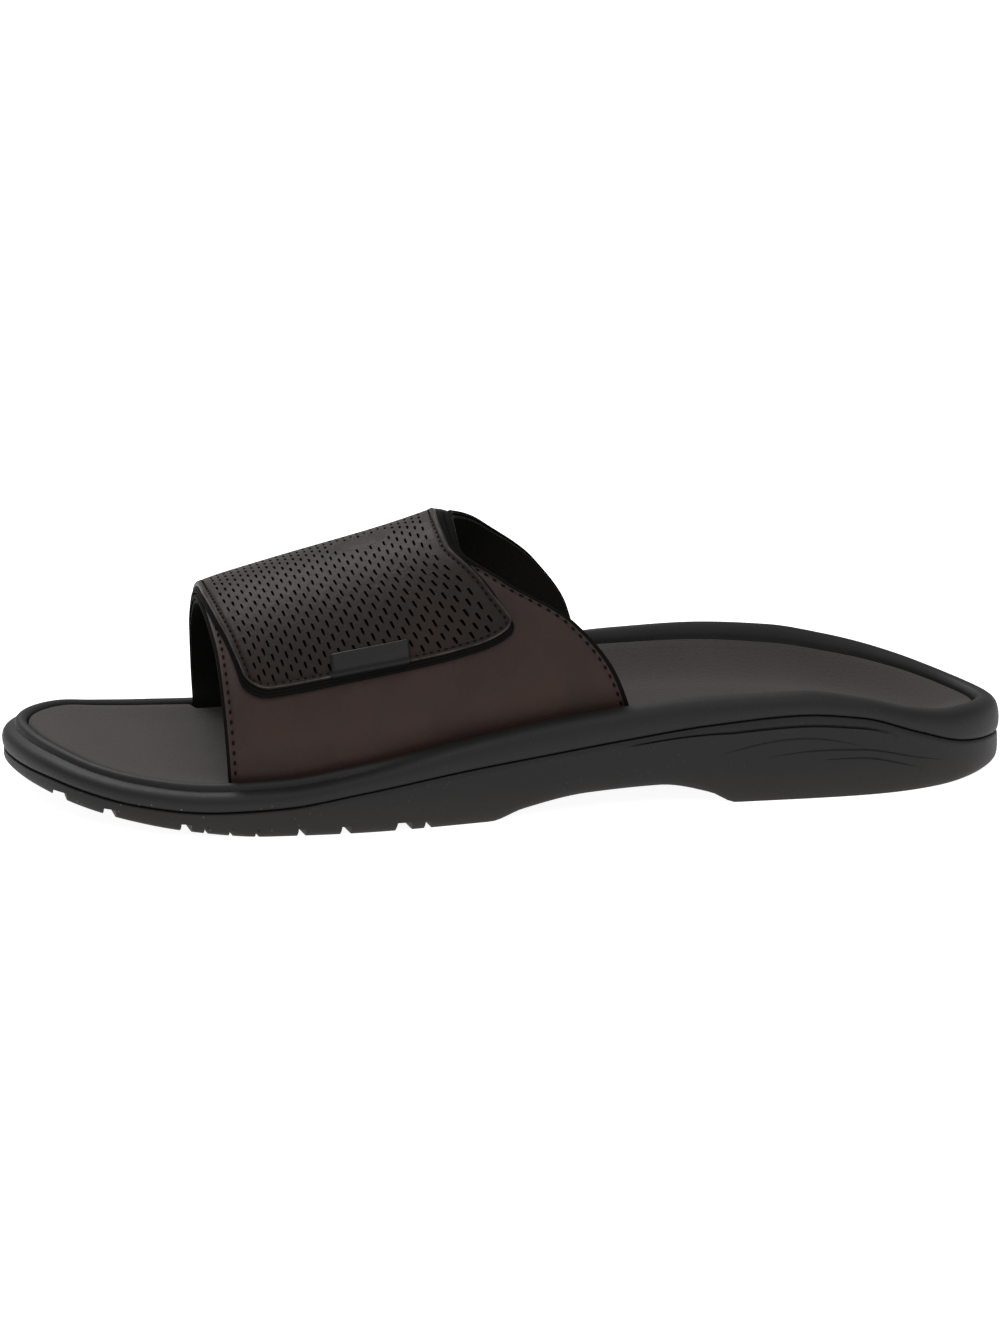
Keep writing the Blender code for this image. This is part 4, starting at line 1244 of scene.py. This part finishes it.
def graded(length, step, fine_start, fine_end):
    """Places from 0 to length: the fine distances at each end and even steps of about step between."""
    start = fine_start[-1]
    end = length - fine_end[-1]
    count = max(2, int(round((end - start) / step)))
    middle = np.linspace(start, end, count + 1)
    return np.concatenate((fine_start[:-1], middle, length - np.array(fine_end[-2::-1])))


def leather_grid(columns, rows):
    """Flat grid whose vertices stand at (column, row, 0)."""
    mesh = bmesh.new()
    bmesh.ops.create_grid(mesh, x_segments=columns, y_segments=rows, size=0.5)
    for vert in mesh.verts:
        vert.co = (round((vert.co.x + 0.5) * columns), round((vert.co.y + 0.5) * rows), 0)
    return mesh


def thicken(mesh):
    """Closes a flat grid into a slab: its old faces are the underside, the new ones the top at z = 1."""
    made = bmesh.ops.extrude_face_region(mesh, geom=list(mesh.faces), use_keep_orig=True)["geom"]
    for item in made:
        if isinstance(item, bmesh.types.BMVert):
            item.co.z = 1
    return [item for item in made if isinstance(item, bmesh.types.BMFace)]


def rolled(distance, radius):
    """Share of full height near a rounded edge."""
    reach = np.clip(1 - distance / radius, 0, 1)
    return np.sqrt(1 - reach * reach)


def furrow(distance, place, width):
    """Soft trough along a seam, 1 at its bottom."""
    return np.exp(-(((distance - place) / width) ** 2))


def flat_coordinates(mesh):
    """Vertices' flat coordinates as an array."""
    return np.array([vert.co[:] for vert in mesh.verts])


def wrap(mesh, points):
    for vert, point in zip(mesh.verts, points):
        vert.co = point


def strap_layer(low, high, grow, step, seam_depth, creases):
    """One layer of the strap between two lifts, grown past the strap's edges by a little."""
    across = graded(NOMINAL_STRAP, step, EDGE_STEPS, EDGE_STEPS)
    mesh = leather_grid(len(across) - 1, STRAP_ROWS)
    thicken(mesh)
    flat = flat_coordinates(mesh)
    turn = -1 + 2 * flat[:, 1] / STRAP_ROWS
    front = FORM.edge(0, turn) - grow
    rear = FORM.edge(1, turn) + grow
    width = rear - front
    place = np.interp(flat[:, 0], np.arange(len(across)), across)
    edge_band = EDGE_STEPS[-1]
    share = (place - edge_band) / (NOMINAL_STRAP - 2 * edge_band)
    inner = edge_band + share * (width - 2 * edge_band)
    from_front = np.where(place < edge_band, place, inner)
    from_front = np.where(place > NOMINAL_STRAP - edge_band, width - (NOMINAL_STRAP - place), from_front)
    x = front + from_front
    to_edge = np.minimum(from_front, width - from_front)
    thickness = high - low
    seam = furrow(to_edge, sizes().strap_seam_inset, STRAP_SEAM_WIDTH)
    fullness = STRAP_EDGE_SHARE + (1 - STRAP_EDGE_SHARE) * rolled(to_edge, STRAP_EDGE_ROUND)
    top = low + thickness * fullness - seam_depth * seam
    if creases:
        top += strap_relief(x, turn, to_edge)
    lift = np.where(flat[:, 2] > 0.5, top, low)
    mesh.verts.index_update()
    for face in mesh.faces:
        corners = [vert.index for vert in face.verts]
        gap = to_edge[corners].mean()
        at_rear = place[corners].mean() > NOMINAL_STRAP / 2
        band = RIDGE_BAND * float(ease((RIDGE_BAND_TURN - abs(turn[corners].mean())) / RIDGE_BAND_TURN))
        edge = REAR_BINDING if at_rear else CUT_EDGE
        face.material_index = int(gap < max(edge, band * at_rear))
    wrap(mesh, FORM.place(x, turn, lift))
    note_edge(mesh, to_edge)
    return mesh


def note_edge(mesh, to_edge):
    """Keeps each vertex's distance to the edge, in millimetres, for the finish."""
    layer = mesh.verts.layers.float.new(EDGE_NOTE)
    for vert, distance in zip(mesh.verts, to_edge):
        vert[layer] = distance * 1000


def strap_relief(x, turn, to_edge):
    """Soft troughs and swells of the worn strap leather."""
    along = x / LENGTH + 0.5
    relief = np.zeros(len(x))
    for centre, turn_centre, reach, turn_reach, depth in STRAP_CREASES:
        distance = np.hypot((along - centre) / reach, (turn - turn_centre) / turn_reach)
        relief += depth * np.exp(-(distance ** 2))
    return relief * ease(to_edge / CREASE_FADE)


def flap_tip(share):
    """Turn of the flap's lower edge at a share across, with its rounded corners."""
    turn = np.full(np.shape(share), FLAP_TIP_TURN)
    for distance, corner in ((share, FLAP_FRONT_CORNER), (1 - share, FLAP_REAR_CORNER)):
        reach = np.clip(1 - distance / corner, 0, 1)
        turn = turn + FLAP_CORNER_RISE * (1 - np.sqrt(1 - reach * reach))
    return turn


class FlapGrid:
    """Where the flap's columns and rows lie on the strap, grown past its outline by a little."""

    def __init__(self, step, grow, tip_grow):
        self.grow = grow
        self.tip_grow = tip_grow
        self.across = graded(NOMINAL_FLAP, step, FLAP_EDGE_STEPS, FLAP_EDGE_STEPS)
        self.down = graded(NOMINAL_FLAP_LENGTH, step, FLAP_EDGE_STEPS, FLAP_EDGE_STEPS)
        self.columns = len(self.across) - 1
        self.rows = len(self.down) - 1
        self.border = len(FLAP_EDGE_STEPS) - 1

    def place(self, column, row):
        """X, turn and the distance to the nearest edge, for arrays of columns and rows."""
        distance = np.interp(column, np.arange(self.columns + 1), self.across)
        height = np.interp(row, np.arange(self.rows + 1), self.down)
        tip = flap_tip(distance / NOMINAL_FLAP)
        span = FLAP_SEAM_TURN - tip
        turn = tip + span * height / NOMINAL_FLAP_LENGTH
        front = FORM.edge(2, turn) - self.grow
        rear = FORM.edge(3, turn) + self.grow
        width = rear - front
        band = FLAP_EDGE_STEPS[-1]
        share = np.clip((distance - band) / (NOMINAL_FLAP - 2 * band), 0, 1)
        spread = share ** FLAP_SPREAD * (width - STRAIGHT_FLAP)
        inner = band + share * (STRAIGHT_FLAP - 2 * band) + spread
        from_front = np.where(distance < band, distance, inner)
        from_front = np.where(distance > NOMINAL_FLAP - band, width - (NOMINAL_FLAP - distance), from_front)
        x = front + from_front
        girth = FORM.girth(x, turn)
        scale = girth * span / NOMINAL_FLAP_LENGTH
        up = height * scale
        down = (NOMINAL_FLAP_LENGTH - height) * scale
        lowered = np.clip(1 - up / TIP_REACH, 0, 1) * self.tip_grow / girth
        nearest = np.minimum(np.minimum(from_front, width - from_front), np.minimum(up, down))
        return x, turn - lowered, nearest


def leather_layout():
    """The flap's leather, set back from its backing, most of all along the tip."""
    return FlapGrid(sizes().hole_cell, *LEATHER_GROWTH)


def from_blank(grid, column, row):
    """How far a place is from the middle of the blank oval, 1 at its edge."""
    u = (column - BLANK_MIDDLE[0] * grid.columns) / BLANK_HALF[0]
    v = (row - BLANK_MIDDLE[1] * grid.rows) / BLANK_HALF[1]
    return np.hypot(u, v)


def perforated_faces(grid, top_faces):
    """Faces to punch, four cells long, with the middle of each hole, in staggered rows."""
    by_cell = {}
    for face in top_faces:
        middle = face.calc_center_median()
        by_cell[(int(middle.x), int(middle.y))] = face
    margin = grid.border + 2
    chosen = []
    middles = []
    for i in range(margin, grid.columns - margin, HOLE_COLUMNS):
        for j in range(margin, grid.rows - margin, HOLE_ROWS):
            if ((i - margin) // HOLE_COLUMNS + (j - margin) // HOLE_ROWS) % 2:
                continue
            if from_blank(grid, i, j) < 1:
                continue
            chosen.extend(by_cell[(i, j + k)] for k in HOLE_CELLS)
            middles.append((i + 0.5, j))
    return chosen, middles


def shape_hole(vert, middle, rim):
    """Moves a corner of a punched cell to the hole's outline, or to its rim outside it."""
    side = 1 if vert.co.x > middle[0] else -1
    level = min(TEARDROP, key=lambda key: abs(vert.co.y - middle[1] - key))
    half, height = TEARDROP[level]
    if rim:
        vert.co.x = middle[0] + side * max(0.5, half + rim)
        vert.co.y = middle[1] + level * HOLE_STRETCH
    else:
        vert.co.x = middle[0] + side * half
        vert.co.y = middle[1] + height


def punch(mesh, grid, top_faces):
    """Punches teardrop holes part of the way into the leather."""
    faces, middles = perforated_faces(grid, top_faces)
    lookup = {(int(x), y + offset): (x, y) for x, y in middles for offset in HOLE_CELLS}
    hole_of = {face: lookup[tuple(int(part) for part in face.calc_center_median().xy)] for face in faces}
    rims = {vert: hole_of[face] for face in faces for vert in face.verts}
    bmesh.ops.inset_region(mesh, faces=faces, thickness=HOLE_INSET, use_even_offset=True, use_boundary=True)
    outlines = {vert: hole_of[face] for face in faces for vert in face.verts}
    for vert, middle in rims.items():
        if vert.is_valid and vert not in outlines:
            shape_hole(vert, middle, HOLE_RIM)
    for vert, middle in outlines.items():
        shape_hole(vert, middle, 0)
    made = bmesh.ops.extrude_face_region(mesh, geom=faces)["geom"]
    bmesh.ops.delete(mesh, geom=faces, context="FACES")
    floors = [item for item in made if isinstance(item, bmesh.types.BMFace)]
    for vert in {vert for face in floors for vert in face.verts}:
        vert.co.z = HOLE_FLOOR
    # Floors and walls take the near-black second finish: the black backing under the holes, with painted
    # shade of their depth
    for face in floors:
        face.material_index = 1
        for edge in face.edges:
            for wall in edge.link_faces:
                if wall not in floors:
                    wall.material_index = 1


def flap_layer(low, high, grid, roll, seam_depth=0.0, punched=False):
    """One layer of the flap between two lifts above the strap."""
    mesh = leather_grid(grid.columns, grid.rows)
    top_faces = thicken(mesh)
    if punched:
        punch(mesh, grid, top_faces)
    flat = flat_coordinates(mesh)
    x, turn, to_edge = grid.place(flat[:, 0], flat[:, 1])
    thickness = high - low
    seam = furrow(to_edge, sizes().flap_seam_inset, FLAP_SEAM_WIDTH)
    fullness = FLAP_EDGE_SHARE + (1 - FLAP_EDGE_SHARE) * rolled(to_edge, roll)
    body = thickness * fullness - seam_depth * seam
    rise = np.sin(np.pi * np.clip(flat[:, 1] / grid.rows, 0, 1))
    swell = FLAP_SWELL * rise * ease(to_edge / FLAP_SWELL_FADE)
    lift = low + body * flat[:, 2] + swell
    if punched:
        distance = from_blank(grid, flat[:, 0], flat[:, 1])
        lift -= BLANK_GROOVE * flat[:, 2] * furrow(distance, BLANK_GROOVE_PLACE, BLANK_GROOVE_WIDTH)
    wrap(mesh, FORM.place(x, turn, lift))
    note_edge(mesh, to_edge)
    return mesh


def along_route(place, lengths, values):
    """Point or normal at a place along a route whose lengths and values are given."""
    return Vector([np.interp(place, lengths, values[:, axis]) for axis in range(3)])


def stitches(seams, pitch, width):
    """Rows of short threads along seams, each seam given as points and outward normals."""
    mesh = bmesh.new()
    for points, normals in seams:
        lengths = path_lengths(points)
        count = int(lengths[-1] / pitch)
        for k in range(count):
            ends = [(k + share) * pitch for share in STITCH_PLACES]
            start, middle, end = (along_route(place, lengths, points) for place in ends)
            normal = along_route(ends[1], lengths, normals).normalized()
            along = (end - start).normalized()
            side = normal.cross(along).normalized()
            half = (end - start).length / 2
            columns = (along * half, side * width / 2, normal * width * STITCH_HEIGHT, middle)
            turned = Matrix([[column[row] for column in columns] for row in range(3)] + [[0, 0, 0, 1]])
            bmesh.ops.create_icosphere(mesh, subdivisions=2, radius=1.0, matrix=turned)
    return mesh


def strap_seam(index, direction):
    """Seam beside the strap's front (0) or rear (1) edge, as points and normals."""
    turns = np.linspace(-STRAP_SEAM_TURN, STRAP_SEAM_TURN, STRAP_SEAM_POINTS)
    x = FORM.edge(index, turns) + direction * sizes().strap_seam_inset
    return FORM.place(x, turns, np.full(STRAP_SEAM_POINTS, STRAP_SEAM_LIFT)), FORM.normal(x, turns)


def flap_seam():
    """Seam round the flap's front edge, tip and rear edge, as points and normals."""
    inset = sizes().flap_seam_inset
    grid = leather_layout()
    near_column = np.interp(inset, grid.across, np.arange(grid.columns + 1))
    far_column = np.interp(NOMINAL_FLAP - inset, grid.across, np.arange(grid.columns + 1))
    near_row = np.interp(inset, grid.down, np.arange(grid.rows + 1))
    last_row = grid.rows - grid.border
    front = [(near_column, row) for row in np.linspace(last_row, near_row, FLAP_SEAM_POINTS)]
    columns = np.linspace(near_column, far_column, FLAP_SEAM_POINTS)
    tip = [(column, near_row) for column in columns]
    rear = [(far_column, row) for row in np.linspace(near_row, last_row, FLAP_SEAM_POINTS)]
    return flap_route(grid, np.array(front + tip[1:] + rear[1:]))


def flap_end_seam():
    """Seam across the flap's medial end, where it is sewn down, as points and normals."""
    grid = leather_layout()
    inset = sizes().flap_seam_inset
    row = np.interp(NOMINAL_FLAP_LENGTH - inset, grid.down, np.arange(grid.rows + 1))
    columns = np.linspace(grid.border, grid.columns - grid.border, FLAP_SEAM_POINTS)
    return flap_route(grid, np.column_stack((columns, np.full(FLAP_SEAM_POINTS, row))))


def flap_route(grid, route):
    """Points and normals in the seam's furrow along a route of (column, row)."""
    x, turn, _ = grid.place(route[:, 0], route[:, 1])
    lift = np.full(len(x), FLAP_CLEARANCE + FLAP_WALL + FLAP_SEAM_LIFT)
    return FORM.place(x, turn, lift), FORM.normal(x, turn)


def tab_relief(distance, to_end):
    """Low ribs across the upper half of the tab's face."""
    ribs = sum(np.exp(-(((distance - rib) / TAB_RIB_WIDTH) ** 2)) for rib in TAB_RIBS)
    return TAB_RIB_HEIGHT * ribs * ease((to_end - TAB_RIB_MARGIN) / TAB_RIB_FADE)


def tab_mesh():
    """Tab folded round the flap's lower edge."""
    profile = closed_spline(TAB_PROFILE, TAB_SAMPLES) * MILLIMETRE
    tangents = np.roll(profile, -1, axis=0) - np.roll(profile, 1, axis=0)
    inward = np.stack((-tangents[:, 1], tangents[:, 0]), axis=1)
    inward = inward / np.linalg.norm(inward, axis=1)[:, None]
    outer_face = profile[:, 1] > TAB_FACE_LIFT
    width = FORM.edge(3, FLAP_TIP_TURN) - FORM.edge(2, FLAP_TIP_TURN)
    rings = []
    for place in graded(TAB_LENGTH, TAB_STEP, TAB_END_STEPS, TAB_END_STEPS):
        share = TAB_POSITION + (place - TAB_LENGTH / 2) / width
        tip = float(flap_tip(np.array(share)))
        to_end = min(place, TAB_LENGTH - place)
        shrink = TAB_SHRINK * (1 - float(rolled(np.array(to_end), TAB_ROUND)))
        section = profile + inward * shrink
        lift = section[:, 1] + np.where(outer_face, tab_relief(section[:, 0], to_end), 0)
        x = FORM.edge(2, tip) + width * share
        turn = tip + section[:, 0] / FORM.girth(x, -1.0)
        rings.append(FORM.place(np.full(len(turn), x), turn, lift))
    mesh = bmesh.new()
    tube(mesh, rings)
    bmesh.ops.recalc_face_normals(mesh, faces=mesh.faces)
    return mesh


class MakeOutsole(bpy.types.Operator):
    """Builds the rubber outsole with its grooves and the lines on its side"""

    bl_idname = "sandal.make_outsole"
    bl_label = "Outsole"

    def execute(self, context):
        mesh = carve(outsole_mesh(), [tread_cutter(), flow_cutter()])
        material = foam_finish("outsole_rubber", colours().outsole_rubber, 0.30, 0.7)
        finished("outsole_body", mesh, [material], ["outsole"], RUBBER_ANGLE)
        return {"FINISHED"}


class MakeMidsole(bpy.types.Operator):
    """Builds the moulded midsole tray"""

    bl_idname = "sandal.make_midsole"
    bl_label = "Midsole"

    def execute(self, context):
        material = foam_finish("midsole_foam", colours().midsole_foam, 0.85, 0.0)
        finished("midsole_tray", midsole_mesh(), [material], ["midsole"], SOFT_ANGLE)
        return {"FINISHED"}


class MakeFootbed(bpy.types.Operator):
    """Builds the footbed with its soft cover"""

    bl_idname = "sandal.make_footbed"
    bl_label = "Footbed"

    def execute(self, context):
        material = footbed_finish("footbed_cover", colours().footbed_cover)
        finished("footbed_insole", footbed_mesh(), [material], ["footbed"], SOFT_ANGLE)
        return {"FINISHED"}


class MakeStrap(bpy.types.Operator):
    """Builds the strap's leather, its lining and its seams"""

    bl_idname = "sandal.make_strap"
    bl_label = "Strap"

    def execute(self, context):
        thickness = sizes().leather_thickness
        leather = leather_finish(
            "strap_leather", colours().strap_leather, warm=(1.14, 0.97, 0.93), grain=2300,
            satin=0.50, gloss=0.24, wear_and_highlight=0.20,
        )
        mesh = strap_layer(-thickness, 0.0, 0.0, STRAP_STEP, SEAM_DEPTH, creases=True)
        paint = edge_finish("strap_edge", colours().edge_paint)
        finished("strap_leather", mesh, [leather, paint], ["upper"], SOFT_ANGLE)
        lining = textile_finish("strap_lining", colours().black_textile)
        top = -thickness - LINING_GAP
        mesh = strap_layer(-STRAP_WALL, top, -LINING_SETBACK, LINING_STEP, 0.0, creases=False)
        finished("strap_lining", mesh, [lining, lining], ["upper"], SOFT_ANGLE)
        thread = thread_finish("strap_thread", colours().thread)
        seams = [strap_seam(0, 1), strap_seam(1, -1)]
        mesh = stitches(seams, sizes().strap_stitch_pitch, sizes().stitch_width)
        finished("strap_seams", mesh, [thread])
        return {"FINISHED"}


class MakeFlap(bpy.types.Operator):
    """Builds the perforated closure flap, its backing and its seam"""

    bl_idname = "sandal.make_flap"
    bl_label = "Closure flap"

    def execute(self, context):
        top = FLAP_CLEARANCE + FLAP_WALL
        split = top - sizes().flap_leather
        leather = leather_finish(
            "flap_leather", colours().flap_leather, warm=(1.22, 0.96, 0.90), grain=2500,
            satin=0.38, gloss=0.12, wear_and_highlight=0.50,
        )
        # Near black, far darker than the backing: painted shade inside the holes over the black backing
        holes = textile_finish("flap_holes", shade(colours().black_textile, 0.12))
        mesh = flap_layer(split, top, leather_layout(), LEATHER_ROUND, SEAM_DEPTH, punched=True)
        finished("flap_leather", mesh, [leather, holes], ["closure_flap"], FINE_ANGLE)
        backing = edge_finish("flap_backing", colours().edge_paint)
        middle = FLAP_CLEARANCE + BACKING_THICKNESS
        grid = FlapGrid(BACKING_STEP, *BACKING_GROWTH)
        mesh = flap_layer(FLAP_CLEARANCE, middle, grid, BACKING_ROUND)
        finished("flap_backing", mesh, [backing], ["closure_flap"], SOFT_ANGLE)
        padding = edge_finish("flap_padding", colours().edge_paint)
        grid = FlapGrid(BACKING_STEP, *PADDING_GROWTH)
        mesh = flap_layer(middle, split - PADDING_GAP, grid, BACKING_ROUND)
        finished("flap_padding", mesh, [padding], ["closure_flap"], SOFT_ANGLE)
        thread = thread_finish("flap_thread", colours().thread)
        mesh = stitches([flap_seam(), flap_end_seam()], sizes().flap_stitch_pitch, sizes().stitch_width)
        finished("flap_seams", mesh, [thread])
        return {"FINISHED"}


class MakeTab(bpy.types.Operator):
    """Builds the pull tab folded round the flap's lower edge"""

    bl_idname = "sandal.make_tab"
    bl_label = "Pull tab"

    def execute(self, context):
        material = gloss_finish("tab_rubber", colours().tab)
        finished("tab_fold", tab_mesh(), [material], ["pull_tab"], SOFT_ANGLE)
        return {"FINISHED"}


class MakeStage(bpy.types.Operator):
    """Sets the floor, the lights and the camera"""

    bl_idname = "sandal.make_stage"
    bl_label = "Stage"

    def execute(self, context):
        settings = context.scene.sandal_stage
        mesh = bmesh.new()
        bmesh.ops.create_grid(mesh, x_segments=1, y_segments=1, size=FLOOR_SIZE)
        floor = linked("floor", mesh)
        floor.data.materials.append(floor_finish("floor_paper", colours().floor, settings.floor_glow))
        world = bpy.data.worlds.new("room")
        world.use_nodes = True
        backdrop = world.node_tree.nodes["Background"]
        backdrop.inputs["Color"].default_value = (1, 1, 1, 1)
        backdrop.inputs["Strength"].default_value = settings.room_light
        context.scene.world = world
        context.scene.view_settings.view_transform = "Standard"
        add_light("key", "SUN", KEY_PLACE, settings.key_strength, KEY_ANGLE)
        add_light("overhead", "AREA", OVERHEAD_PLACE, settings.overhead_power, OVERHEAD_SIZE)
        add_camera(settings)
        return {"FINISHED"}


def add_light(name, kind, place, strength, spread):
    """Light aimed at the sandal: spread is a sun's angle or a softbox's side."""
    lamp = bpy.data.lights.new(name, kind)
    lamp.energy = strength
    if kind == "SUN":
        lamp.angle = spread
    else:
        lamp.size = spread
    light = bpy.data.objects.new(name, lamp)
    light.location = place
    light.rotation_euler = (LIGHT_TARGET - place).to_track_quat("-Z", "Y").to_euler()
    bpy.context.scene.collection.objects.link(light)


def add_camera(settings):
    azimuth = settings.azimuth
    elevation = settings.elevation
    back = Vector((
        math.sin(azimuth) * math.cos(elevation),
        -math.cos(azimuth) * math.cos(elevation),
        math.sin(elevation),
    ))
    level = Vector((math.cos(azimuth), math.sin(azimuth), 0))
    upright = back.cross(level)
    right = level * math.cos(settings.roll) + upright * math.sin(settings.roll)
    up = upright * math.cos(settings.roll) - level * math.sin(settings.roll)
    place = CAMERA_TARGET + back * settings.distance
    data = bpy.data.cameras.new("camera")
    data.sensor_fit = "VERTICAL"
    data.sensor_height = SENSOR_HEIGHT
    data.lens = SENSOR_HEIGHT * PIXELS_PER_METRE * settings.distance / FRAME_HEIGHT
    data.shift_y = (CENTRE_ROW - FRAME_HEIGHT / 2) / FRAME_HEIGHT
    camera = bpy.data.objects.new("camera", data)
    camera.matrix_world = Matrix((
        (right.x, up.x, back.x, place.x),
        (right.y, up.y, back.y, place.y),
        (right.z, up.z, back.z, place.z),
        (0, 0, 0, 1),
    ))
    bpy.context.scene.collection.objects.link(camera)
    bpy.context.scene.camera = camera


OPERATORS = (MakeOutsole, MakeMidsole, MakeFootbed, MakeStrap, MakeFlap, MakeTab, MakeStage)


class SandalPanel(bpy.types.Panel):
    """Lists the sandal's pieces, sizes and colours"""

    bl_idname = "VIEW3D_PT_sandal"
    bl_label = "Slide sandal"
    bl_space_type = "VIEW_3D"
    bl_region_type = "UI"
    bl_category = "Sandal"

    def draw(self, context):
        layout = self.layout
        for operator in OPERATORS:
            layout.operator(operator.bl_idname)
        for group in (context.scene.sandal_sizes, context.scene.sandal_colours, context.scene.sandal_stage):
            box = layout.box()
            for name in group.__annotations__:
                box.prop(group, name)


CLASSES = (SandalSizes, SandalColours, StageSettings, *OPERATORS, SandalPanel)


def register():
    for item in CLASSES:
        bpy.utils.register_class(item)
    bpy.types.Scene.sandal_sizes = bpy.props.PointerProperty(type=SandalSizes)
    bpy.types.Scene.sandal_colours = bpy.props.PointerProperty(type=SandalColours)
    bpy.types.Scene.sandal_stage = bpy.props.PointerProperty(type=StageSettings)


def unregister():
    del bpy.types.Scene.sandal_stage
    del bpy.types.Scene.sandal_colours
    del bpy.types.Scene.sandal_sizes
    for item in reversed(CLASSES):
        bpy.utils.unregister_class(item)


def main():
    register()
    bpy.ops.sandal.make_stage()
    bpy.ops.sandal.make_outsole()
    bpy.ops.sandal.make_midsole()
    bpy.ops.sandal.make_footbed()
    bpy.ops.sandal.make_strap()
    bpy.ops.sandal.make_flap()
    bpy.ops.sandal.make_tab()


if __name__ == "__main__":
    main()
